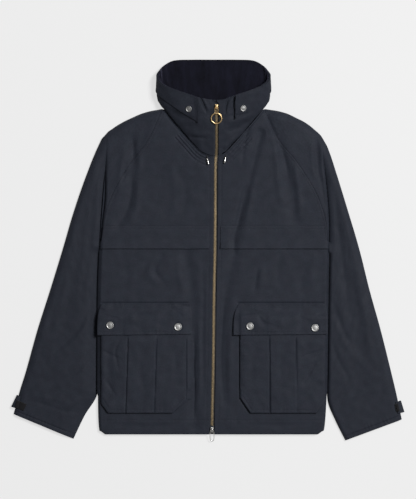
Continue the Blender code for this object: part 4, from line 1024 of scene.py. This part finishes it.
def pocketFace(side, out, y, plan):
    # how far a pocket's underside stands off the front, before its edges come down
    p, low, top = pocketOf[side], pocket["lowY"], pocket["topY"]
    lean = pocket["lean"][side] * (1 - 2 * (y - low) / (top - low))
    pleatIn, pleatOut = p.pleatIn + lean, p.pleatOut + lean
    face = pocket["lift"] + pocket["pleatRaise"] * ease((out - pleatIn) / 2.0) * ease((pleatOut - out) / 2.0)
    first, last = pocket["underFlap"]
    free = 1 - ease((y - first) / (last - first))
    middle = np.sin(math.pi * np.clip((out - p.faceIn) / (p.faceOut - p.faceIn), 0, 1))
    relief = pocket["bulge"] * middle * ease((y - low) / 60) + softWaves(out + 31, y, 0.35, 20, 70)
    relief -= creaseDepth(pocketCreases[side], plan[..., 0], plan[..., 1])
    edge = [(p.faceIn + 4, 250), *pocketSewing(side), (p.faceOut - 5, 80)]
    relief -= seamDepth([Sewn(0.5, 0.2, edge)], plan[..., 0], plan[..., 1])
    grooves = [(pleatIn, 1.2, 0.0), (pleatOut, 1.3, 0.0), (p.faceIn, 1.5, 0.0)]      # where, depth, fading
    if side == "Left":
        grooves = [(pleatIn, 1.6, 0.0), (pleatOut, 1.3, 0.8), (p.faceIn, 0.8, 0.0)]
    for line, deepest, faded in grooves:
        deep = pocket["grooveDeep"] * deepest * (1 - faded * ease((150 - y) / 60))
        face = face - deep * free * np.exp(-(((out - line) / pocket["grooveWide"]) ** 2))
    return face + free * relief


def pocketSewing(side):
    p = pocketOf[side]
    return [(p.faceIn + 4, 84), (p.faceIn + p.cutIn.out + 2, 54), (p.faceOut - p.cutOut.out - 4, 54)]


def flapSewing(side):
    p, low, top = pocketOf[side], pocket["flapLowY"], pocket["flapTopY"]
    return [[(p.flapIn + 3, low + 5), (p.flapOut - 3, low + 5)],
            [(p.flapIn + 14, top - 4), (p.flapOut - 12, top - 4)]]


def makePocket(side):
    p, low, top, cell, wide = pocketOf[side], pocket["lowY"], pocket["topY"], pocket["cell"], pocket["gusset"]
    gusset = p.faceIn - p.gussetIn * np.linspace(1, 0, round(p.gussetIn / 1.2) + 2)[:-1]
    across = np.linspace(p.faceIn, p.faceOut - 1.5, oddCount((p.faceOut - p.faceIn) / cell) - len(gusset) % 2)
    up = np.linspace(low, top, oddCount((top - low) / cell) - 1)
    up = np.concatenate([low - wide * np.array([1, 0.6, 0.25]), up])
    out, y = np.meshgrid(np.concatenate([gusset, across]), up)
    wider = 0.6 * (p.gussetIn - wide) * np.clip(1 - np.abs(out - p.faceIn) / p.cutIn.out, 0, 1)
    y = np.where(y < low, low - (low - y) * (1 + wider / wide), y)
    cuts = [np.maximum(0.0, corner.y - far * corner.y / corner.out)
            for corner, far in ((p.cutIn, out - p.faceIn), (p.cutOut, p.faceOut - out))]
    slant = np.minimum(np.maximum(*cuts), 34.0) * np.clip(1 - (y - low) / 60.0, 0, 1)
    plan = np.dstack([out, y + slant])
    face = pocketFace(side, out, y, plan)
    inner = quarterRound(out - p.faceIn + p.gussetIn, 3.4)
    if p.gussetIn > 5:
        steps = [p.faceIn - p.gussetIn, p.faceIn - p.gussetIn * 0.4, p.faceIn, p.faceIn + 2]
        inner = np.interp(out, steps, [0, 0.5, 0.9, 1])
    below = np.clip(low - y, 0, None) * wide / (wide + wider)
    edge = np.minimum(inner, quarterRound(wide - below + np.clip(y - low, 0, None), 3.4))
    edge = np.minimum(edge, 0.1 + 0.9 * quarterRound(p.faceOut - 1.5 - out, 8.5))
    face = 0.3 + (face - 0.3) * edge
    lift = np.minimum(face, 1.5 + (face - 1.5) * ease((top - y) / 14.0))      # less at its mouth
    under = signed(np.dstack([plan, laidHeight(side, plan[..., 0], plan[..., 1]) + lift]), side)
    thin = ease((p.faceIn - out) / 4) * ease((low + 50 - y) / 30)     # the gusset runs out below
    thin = thin if side == "Left" else thin[:, ::-1]
    over = under + np.dstack([0 * thin, 0 * thin, form["pocketCloth"] * (1 - 0.8 * thin)])
    shell(f"pocket{side}", over, under, uv=over[..., :2] * mm)


snapCap = {
    "pocketRadius": 8.2, "collarRadius": 6.6, "high": 2.4,
    # share of the radius, and how far below the top, from the side in
    "profile": [(1, 0.9), (0.985, 0.4), (0.94, 0.08), (0.88, 0), (0.82, 0.08), (0.77, 0.32), (0.73, 0.5),
                (0.66, 0.52), (0.58, 0.42), (0.36, 0.24), (0.12, 0.16)],
    "pocket": {"Right": [(227.2, 240.5), (78, 237)], "Left": [(80.3, 238.5), (222.9, 235)]},
    "collar": {"Right": (54, 714.3), "Left": (65, 716)},
}
flap = {
    "cell": 1.6, "corner": {"Left": (12, 3), "Right": (4, 9)},
    "rise": {"Left": 2.0, "Right": -2.5},       # of the lower edge towards the side
}
flapCreases = {
    "Right": folds(
        (2.5, 1.1, (50, 282), (66, 284), (84, 288)), (2.6, 1.2, (64, 259), (76, 266), (88, 273)),
        (3, -0.5, (60, 272), (76, 278), (92, 284)), (2.6, 1.0, (206, 254), (232, 261), (254, 262)),
        (2.4, 0.9, (238, 272), (250, 276), (256, 280)), (5, 0.5, (110, 280), (150, 270), (190, 278))),
    "Left": folds(
        (2.5, 1.1, (46, 264), (70, 266), (104, 271)), (4.0, 1.5, (98, 262), (112, 244), (142, 237)),
        (4, -0.6, (92, 252), (108, 234), (140, 228)), (2.6, 0.9, (226, 264), (240, 265), (252, 265)),
        (3, -0.5, (56, 274), (88, 277), (116, 268)), (5, 0.5, (160, 250), (190, 256), (216, 250))),
}


def flapLift(side, out, y):
    # how far a flap's underside clears the front, rising over the pocket's mouth
    p, over = pocketOf[side], pocket["lift"] + form["pocketCloth"] + 0.55
    raised = over + pocket["pleatRaise"]
    steps = [(p.flapIn, 4.2), (p.flapIn + 5, 4.0), (p.faceIn - p.gussetIn - 2, 3.9),
             (p.faceIn - p.gussetIn * 0.4 - 1, over - 1.1), (p.faceIn - 1, over), (p.pleatIn - 9, over),
             (p.pleatIn - 2, raised), (p.pleatOut + 2, raised), (p.pleatOut + 9, over), (p.faceOut + 1, over),
             (p.faceOut + 5, over - 0.6)]
    return 0.1 + (np.interp(out, *zip(*steps)) - 0.1) * ease((280 - y) / 26.7)


def makePocketFlap(side):
    p, low, top = pocketOf[side], pocket["flapLowY"], pocket["flapTopY"]
    width, rise, corner = p.flapOut - p.flapIn, flap["rise"][side], flap["corner"][side]
    counts = [oddCount(size / flap["cell"]) for size in (width, top - low)]
    across, share = np.meshgrid(*(np.linspace(0, 1, count) for count in counts))
    inward, outward = corner[0] * share**4, corner[1] * share**4
    out = p.flapIn + inward + across * (width - inward - outward)
    y = low + (top - low) * share + rise * (1 - share) * (across - 0.5)
    lift = flapLift(side, out, y) + 1.2 * np.clip(1 - share * 3, 0, 1)
    lift[:, 1:-1] = (lift[:, :-2] + 2 * lift[:, 1:-1] + lift[:, 2:]) / 4
    relief = softWaves(out + 11, y, 0.35, 18, 60) - creaseDepth(flapCreases[side], out, y)
    relief = relief - seamDepth([Sewn(0.5, 0.2, row) for row in flapSewing(side)], out, y)
    for spotOut, spotY in snapCap["pocket"][side]:      # pressed in around each snap
        away = np.hypot(out - spotOut, y - spotY) - snapCap["pocketRadius"] - 1.2
        relief = relief - 1.1 * np.exp(-((away / 1.1) ** 2))
    under = np.dstack([out, y, laidHeight(side, out, y) + np.maximum(lift, 0.1)])
    edge = np.minimum(np.minimum(across, 1 - across) * width, share * (top - low))
    over = under[..., 2] + form["flapCloth"] - 0.5 * (1 - quarterRound(edge, 1.2)) + np.maximum(relief, -1.3)
    under[..., 2] = np.minimum(under[..., 2] + np.maximum(relief, 0), over - 0.4)
    over, under = (signed(grid, side) for grid in (np.dstack([out, y, over]), under))
    made = shell(f"pocketFlap{side}", over, under, uv=under[..., :2] * mm)


for side in signOf:
    makePocket(side)
    makePocketFlap(side)
print("pockets made")


# Zip: tape, teeth, two sliders and their pulls
zipper = {
    "tapeHalf": 12.0, "tapeLowY": 3.0, "tapeTopY": 728.0, "tapeBelow": 3.3, "tapeThick": 1.0, "rimY": 739.0,
    "chainLowY": 20.0, "chainTopY": 711.0, "chainBelow": 1.85, "chainHigh": 2.4,
    "pinHigh": 3.05, "ringRadius": 11.4, "ringWire": 1.5, "linkWire": 0.7,
}


def centreHigh(y):
    # height of the cloth's outer side along the zip
    if y <= form["collarFrontY"]:
        return float(bodyHigh(0.0, y))
    first = collarRows[0]
    share = min(max((y - first.seamY) / (zipper["rimY"] - first.seamY), 0.0), 1.0)
    return first.seamZ + (first.rimZ - first.seamZ) * share + collar["bulge"] * math.sin(math.pi * share)


def centreSlope(y):
    return math.atan2(centreHigh(y + 4) - centreHigh(y - 4), 8.0)


def makeTape():
    half, rows = zipper["tapeHalf"], []
    for y in np.linspace(zipper["tapeLowY"], zipper["tapeTopY"], 241):
        z = centreHigh(y) - zipper["tapeBelow"]
        rows.append([(zipX(y) + half * s, y, z) for s in np.linspace(-1, 1, 9)])
    over = np.array(rows)
    shell("zipTape", over, over - [0, 0, zipper["tapeThick"]], "tape")


makeTape()
print("zip tape made")


# Rows of repeated shapes, by Geometry Nodes
class Rows(Tree):
    # repeats a shape along a line, with named number inputs
    def __init__(self, name, sizes):
        super().__init__(bpy.data.node_groups.new(name, "GeometryNodeTree"))
        kinds = [("Line", "Geometry"), *((key, "Float") for key in sizes), ("Finish", "Material")]
        for key, kind in [*kinds, ("Shapes", "Geometry")]:
            way = "OUTPUT" if key == "Shapes" else "INPUT"
            socket = self.tree.interface.new_socket(key, in_out=way, socket_type="NodeSocket" + kind)
            if key in sizes:
                socket.default_value = sizes[key]
        self.given = self.tree.nodes.new("NodeGroupInput").outputs
        inputs = {"Curve": self.given["Line"], "Length": self.given["Pitch"]}
        self.points = self.add("GeometryNodeCurveToPoints", inputs, mode="LENGTH")

    def sized(self, x, y, z):
        return self.add("ShaderNodeCombineXYZ", {"X": x, "Y": y, "Z": z})["Vector"]

    def changed(self, mesh, **how):
        return self.add("GeometryNodeTransform", {"Geometry": mesh[0], **how})[0]

    def aligned(self, axis, **how):
        inputs = {"Vector": self.points["Tangent"], **how}
        return self.add("FunctionNodeAlignRotationToVector", inputs, axis=axis)["Rotation"]

    def turn(self, angles):
        return self.add("FunctionNodeEulerToRotation", {"Euler": angles})[0]

    def finish(self, shape, rotation):
        inputs = {"Points": self.points["Points"], "Instance": shape, "Rotation": rotation}
        rows = self.add("GeometryNodeInstanceOnPoints", inputs)[0]
        real = self.add("GeometryNodeRealizeInstances", {"Geometry": rows})[0]
        rounded = self.add("GeometryNodeSetShadeSmooth", {"Geometry": real})[0]
        inputs = {"Geometry": rounded, "Material": self.given["Finish"]}
        painted = self.add("GeometryNodeSetMaterial", inputs)[0]
        self.put(painted, self.tree.nodes.new("NodeGroupOutput").inputs[0])
        return self.tree



def stitchTree():
    made = Rows("stitchRow", {"Pitch": 0.0026, "Long": 0.0021, "Thick": 0.0006, "Sway": 0.12})
    half, sway = made.maths("MULTIPLY", made.given["Thick"], 0.5), made.given["Sway"]
    ball = made.add("GeometryNodeMeshIcoSphere", {"Radius": 1.0, "Subdivisions": 1})
    shape = made.changed(ball, Scale=made.sized(half, half, made.maths("MULTIPLY", made.given["Long"], 0.5)))
    least = made.maths("MULTIPLY", sway, -1.0)
    inputs = {0: made.sized(least, least, least), 1: made.sized(sway, sway, sway), "Seed": 3}
    jitter = made.add("FunctionNodeRandomValue", inputs, data_type="FLOAT_VECTOR")[0]
    return made.finish(shape, made.aligned("Z", Rotation=made.turn(jitter), Factor=0.97))


def toothTree():
    # teeth in two rows that mesh: a leg towards the tape and a round head past the middle
    sizes = {"Pitch": 0.0013, "Leg": 0.0030, "Thick": 0.00105, "High": 0.0021, "Head": 0.00095}
    made = Rows("zipTeeth", sizes)
    long, high = made.given["Leg"], made.given["High"]
    leg = made.add("GeometryNodeMeshCube", {"Size": made.sized(long, made.given["Thick"], high)})
    leg = made.changed(leg, Translation=made.sized(made.maths("MULTIPLY", long, 0.5), 0.0, 0.0))
    head = made.add("GeometryNodeMeshCylinder", {"Vertices": 10, "Radius": made.given["Head"], "Depth": high})
    head = made.changed(head, Scale=(1.0, 0.72, 1.08))
    both = made.tree.nodes.new("GeometryNodeJoinGeometry")
    made.put(leg, both.inputs[0])
    made.put(head, both.inputs[0])
    odd = made.maths("MODULO", made.add("GeometryNodeInputIndex", {})[0], 2.0)
    around = made.turn(made.sized(0.0, 0.0, made.maths("MULTIPLY", odd, math.pi)))
    inputs = {"Rotation": made.aligned("Y"), "Rotate By": around}
    turned = made.add("FunctionNodeRotateRotation", inputs, rotation_space="LOCAL")
    return made.finish(both.outputs[0], turned["Rotation"])


def lineObject(name, runs):
    curve = bpy.data.curves.new(name, "CURVE")
    curve.dimensions = "3D"
    for points in runs:
        run = curve.splines.new("POLY")
        run.points.add(len(points) - 1)
        for spot, point in zip(run.points, place(points)):
            spot.co = (*point, 1.0)
    return linked(name, curve)


def grow(name, runs, tree, sizes, cloth):
    # runs a tree over the lines and keeps its result as a plain mesh
    line = lineObject(name + "Line", runs)
    modifier = line.modifiers.new("rows", "NODES")
    modifier.node_group = tree
    for socket in tree.interface.items_tree:
        if socket.name in sizes:
            modifier[socket.identifier] = sizes[socket.name]
        if socket.name == "Finish":
            modifier[socket.identifier] = cloths[cloth][0]
    bpy.context.view_layer.update()
    mesh = bpy.data.meshes.new_from_object(line.evaluated_get(bpy.context.evaluated_depsgraph_get()))
    bpy.data.objects.remove(line)
    finished(linked(name, mesh), cloth)


def makeTeeth():
    deep = zipper["chainBelow"] + zipper["chainHigh"] / 2 - 0.1
    ys = np.linspace(zipper["chainLowY"], zipper["chainTopY"], 240)
    grow("zipTeeth", [[(zipX(y), y, centreHigh(y) - deep) for y in ys]], toothTree(), {}, "teeth")


makeTeeth()
print("zip teeth made")


# Rows of sewing, laid on the panels in plan
sewnOn = ("front", "stormFlap", "pocket", "pocketFlap", "sleeveFront")
flat = treeOf(*(kind + side for kind in sewnOn for side in signOf))
sewing = {"Pitch": 2.9, "Long": 2.3, "Thick": 0.55}


def onTop(side, points):
    # a line in plan, laid on the jacket
    points = [(signOf[side] * out, y) for out, y in points]
    length = sum(math.dist(a, b) for a, b in zip(points, points[1:]))
    return [(x, y, topOf(flat, x, y) + 0.05) for x, y in evenly(points, max(3, round(length / 3.0)))]


def frontRuns(side):
    p, sign, hem, yoke = pocketOf[side], signOf[side], form["hemLineY"], form["yokeTopY"]
    neck = smooth(neckLine, 30)
    lines = [[(10 + sign * zipX(0), hem), (241, hem)],
             [(centreOut(side, y, 7.5), y) for y in np.linspace(4, 600, 60)],
             besideLine(smooth(raglan[side], 40), 5.5)[1:-1],
             *[[(14 + sign * 4, yoke - down), (240, yoke - down)] for down in (1.5, 6.0)],
             *[besideLine(neck, -low)[1:18] for low in (8.0, 14.5, 21.0)],
             *flapSewing(side), [(p.faceIn + 4, 214), *pocketSewing(side)]]
    return [onTop(side, line) for line in lines]


def cuffRun(side):
    outer, inner = cuffLine(side)
    return onTop(side, [outer + (inner - outer) * t for t in (0.03, 0.97)])


def sew(name, runs):
    grow(name, runs, stitches, {key: size * mm for key, size in sewing.items()}, "thread")


stitches = stitchTree()
for side in signOf:
    sew(f"stitching{side}", frontRuns(side))
sew("cuffStitching", [cuffRun(side) for side in signOf])
print("sewing made")


# Hard pieces: sliders, pulls, snaps
def plate(outline, low, high, bevel, turn, at):
    # a plate with an outline in (across, along), from low to high, turned and moved to its place
    shape = bmesh.new()
    face = shape.faces.new([shape.verts.new((x, y, low)) for x, y in outline])
    grown = bmesh.ops.extrude_face_region(shape, geom=[face])
    for vert in (v for v in grown["geom"] if isinstance(v, bmesh.types.BMVert)):
        vert.co.z = high
    bmesh.ops.recalc_face_normals(shape, faces=shape.faces[:])
    bmesh.ops.bevel(shape, geom=shape.edges[:], offset=bevel, segments=3, affect="EDGES", profile=0.5)
    points = [tuple(turn @ v.co + Vector(at)) for v in shape.verts]
    faces = [[v.index for v in f.verts] for f in shape.faces]
    shape.free()
    return points, faces


def joined(parts):
    points, faces = [], []
    for more, sides in parts:
        faces += [[len(points) + k for k in side] for side in sides]
        points += more
    return points, faces


def wire(path, radius, around=16):
    # round wire along a path, closed on itself
    path = np.asarray(path, float)
    count = len(path)
    ahead = np.roll(path, -1, axis=0) - np.roll(path, 1, axis=0)
    normal = Vector(np.cross(path[count // 4] - path[0], path[count // 2] - path[0])).normalized()
    points = []
    for point, course in zip(path, ahead):
        beside = normal.cross(Vector(course).normalized())
        points += [tuple(Vector(point) + (beside * math.cos(a) + normal * math.sin(a)) * radius)
                   for a in np.linspace(0, 2 * math.pi, around, endpoint=False)]
    return points, tubeFaces(count, around, count)


def makeSlider(name, y, length, width, cloth):
    turn = Matrix.Rotation(centreSlope(y), 3, "X")
    at = Vector((zipX(y), y, centreHigh(y) + 0.6))
    w, l = width / 2, length / 2
    half = [(w * 0.62, -l), (w * 0.80, -l * 0.2), (w, l * 0.45), (w * 0.86, l), (w * 0.25, l)]
    body = [(-w * 0.62, -l), *half, (0, l * 0.8), *((-x, far) for x, far in half[:0:-1])]
    parts = [plate(body, -0.7, 1.9, 0.35, turn, at)]
    posts = [(l * share - 1.1, l * share + 1.1, 1.1, 4.5, 0.3) for share in (0.64, -0.64)]
    for near, far, low, high, bevel in [*posts, (-l * 0.86, l * 0.86, 4.2, 5.6, 0.45)]:
        parts.append(plate([(-1.2, near), (1.2, near), (1.2, far), (-1.2, far)], low, high, bevel, turn, at))
    meshPiece(name, *joined(parts), cloth, smooth=40)
    up = turn @ Vector((0, 0, 1))
    return at + up * zipper["pinHigh"], turn @ Vector((0, 1, 0)), up


def oval(centre, along, up, halfLong, halfWide, count, power=0.6):
    across = along.cross(up)
    points = []
    for k in range(count):
        a = 2 * math.pi * k / count
        bend = [abs(w) ** power * (1 if w >= 0 else -1) for w in (math.cos(a), math.sin(a))]
        points.append(tuple(centre + along * halfLong * bend[0] + across * halfWide * bend[1]))
    return points


def hung(pin, along, up, droop):
    turn = Matrix.Rotation(math.radians(droop), 3, "X")
    return pin, turn @ -along, turn @ up


def makePulls():
    pin, along, up = hung(*makeSlider("topSlider", 719.0, 11.0, 7.0, "brass"), 3.0)
    r, thin = zipper["ringRadius"], zipper["linkWire"]
    link = wire(oval(pin + along * 7.0, along, up, 7.0, 3.4, 48), thin)
    ring = wire(oval(pin + along * (13.9 + r), along, up, r, r, 84, 1.0), zipper["ringWire"], 20)
    turnOut(meshPiece("topPull", *joined([link, ring]), "brass", body="upper_pull"))
    pin, along, up = hung(*makeSlider("bottomSlider", 11.0, 12.0, 7.0, "nickel"), 14.0)
    pull = wire(oval(pin + along * 13.5, along, up, 13.5, 4.4, 60), thin)
    turnOut(meshPiece("bottomPull", *pull, "nickel", body="lower_pull"))


makePulls()


def makeSnap(name, r, x, y, tree):
    # a cap with a rolled rim and a shallow dished face, on its cloth's own slope
    around = [(x + r * math.cos(a), y + r * math.sin(a)) for a in np.linspace(0, 2 * math.pi, 9)[:-1]]
    highs = [topOf(tree, *spot) for spot in around]
    slopeX, slopeY = (highs[0] - highs[4]) / (2 * r), (highs[2] - highs[6]) / (2 * r)
    level = max(high - slopeX * (a - x) - slopeY * (b - y) for high, (a, b) in zip(highs, around))
    level = max(level, topOf(tree, x, y)) + 0.1
    shape = [(r * share, snapCap["high"] - down) for share, down in snapCap["profile"]]
    lathe(name, [(r * 0.94, 0.0), (r, 0.5), *shape], 48, "snap", (x, y, level), (-slopeX, -slopeY, 1), 60)


for side, sign in signOf.items():
    onFlap, onBand = treeOf(f"pocketFlap{side}"), treeOf("collarBand")
    for number, (out, y) in enumerate(snapCap["pocket"][side], 1):
        makeSnap(f"pocketSnap{side}{number}", snapCap["pocketRadius"], sign * out, y, onFlap)
    out, y = snapCap["collar"][side]
    makeSnap(f"collarSnap{side}", snapCap["collarRadius"], sign * out, y, onBand)
print("hard pieces made")

# Cuff tabs
tab = {
    "ends": {"Right": [(-437, 60.5), (-418, 52), (-411, 67), (-433, 76)],
             "Left": [(402, 49.5), (409.5, 52), (405.5, 68.5), (398.5, 66)]},
    "loops": {"Right": [(-437.5, 58.5), (-430, 85.5)], "Left": [(412.4, 47.5), (407, 73)]},
    "spread": {"Right": (1.05, 0.35), "Left": (1.0, 0.7)},      # share of the bend, low and high end
    # how far past the sleeve's edge, and height
    "bend": [(-6, 10.8), (-2, 11), (2.4, 10.3), (6, 8.4), (7.6, 5.4), (6.4, 2.8), (3.2, 1.7)],
    "thick": 1.8,
}


def makeLoop(side):
    low, high = np.array(tab["loops"][side], float)
    course = (high - low) / np.linalg.norm(high - low)
    outward = np.array([course[1], -course[0]]) * signOf[side]
    first, last = tab["spread"][side]
    grid = []
    for share in np.linspace(0, 1, 15):
        spread, start = first * (1 - share) + last * share, low + (high - low) * share
        bend = spline([(reach * spread if reach > 0 else reach, z) for reach, z in tab["bend"]], 25)
        grid.append([(*(start + outward * reach), z) for reach, z in bend])
    over, under = (movedOut(np.array(grid), half) for half in (tab["thick"] / 2, -tab["thick"] / 2))
    turnOut(shell(f"cuffLoop{side}", over, under))


def makeTab(side):
    a, b, c, d = np.array(tab["ends"][side], float)
    s, t = np.meshgrid(np.linspace(0, 1, 17), np.linspace(0, 1, 17), indexing="ij")
    s, t = s[..., None], t[..., None]
    plan = (1 - s) * ((1 - t) * a + t * b) + s * ((1 - t) * d + t * c)
    lain = (f"sleeveFront{side}", f"cuffLoop{side}")
    below = treeOf(*lain)
    near = [(0, 0), (1.2, 0), (-1.2, 0), (0, 1.2), (0, -1.2)]
    high = np.array([[max(topOf(below, x + dx, y + dy) for dx, dy in near) for x, y in row] for row in plan])
    under = np.dstack([plan, high + form["lie"]])
    edge = np.minimum(np.minimum(s, 1 - s), np.minimum(t, 1 - t))[..., 0] * 14
    over = under + np.dstack([0 * high, 0 * high, tab["thick"] - 0.6 * (1 - quarterRound(edge, 1.2))])
    turnOut(shell(f"cuffTab{side}", over, under, "tab"))


for side in signOf:
    makeLoop(side)
    makeTab(side)
print("tabs made")

# Floor, light and the end
studio = {
    "floorColour": (0.20, 0.20, 0.20), "floorGlow": 0.65,      # a glowing table, so that shadows stay faint
    "floorHalf": 6.0, "floorLow": -0.0002, "sky": 0.2, "key": 355.0, "keyAt": (2.8, 1.6, 5.1), "keySize": 2.0,
}


def makeStudio():
    far, low = studio["floorHalf"], studio["floorLow"]
    mesh = bpy.data.meshes.new("floor")
    corners = [(x * far, y * far, low) for x, y in ((-1, -1), (1, -1), (1, 1), (-1, 1))]
    mesh.from_pydata(corners, [], [(0, 1, 2, 3)])
    white = (1, 1, 1, 1)
    inputs = {"Specular IOR Level": 0.0, "Emission Color": white, "Emission Strength": studio["floorGlow"]}
    mesh.materials.append(Finish("paper", studio["floorColour"], 0.9, inputs).material)
    linked("floor", mesh)
    world = bpy.data.worlds.new("softSky")
    world.use_nodes = True
    for key, value in (("Color", white), ("Strength", studio["sky"])):
        world.node_tree.nodes["Background"].inputs[key].default_value = value
    bpy.context.scene.world = world
    light = bpy.data.lights.new("softKey", "AREA")
    light.shape, light.size, light.energy = "DISK", studio["keySize"], studio["key"]
    key = linked("softKey", light)
    key.location = studio["keyAt"]
    key.rotation_euler = (-Vector(studio["keyAt"])).to_track_quat("-Z", "Y").to_euler()
    bpy.context.scene.view_settings.view_transform = "Standard"


makeStudio()
print("studio made")
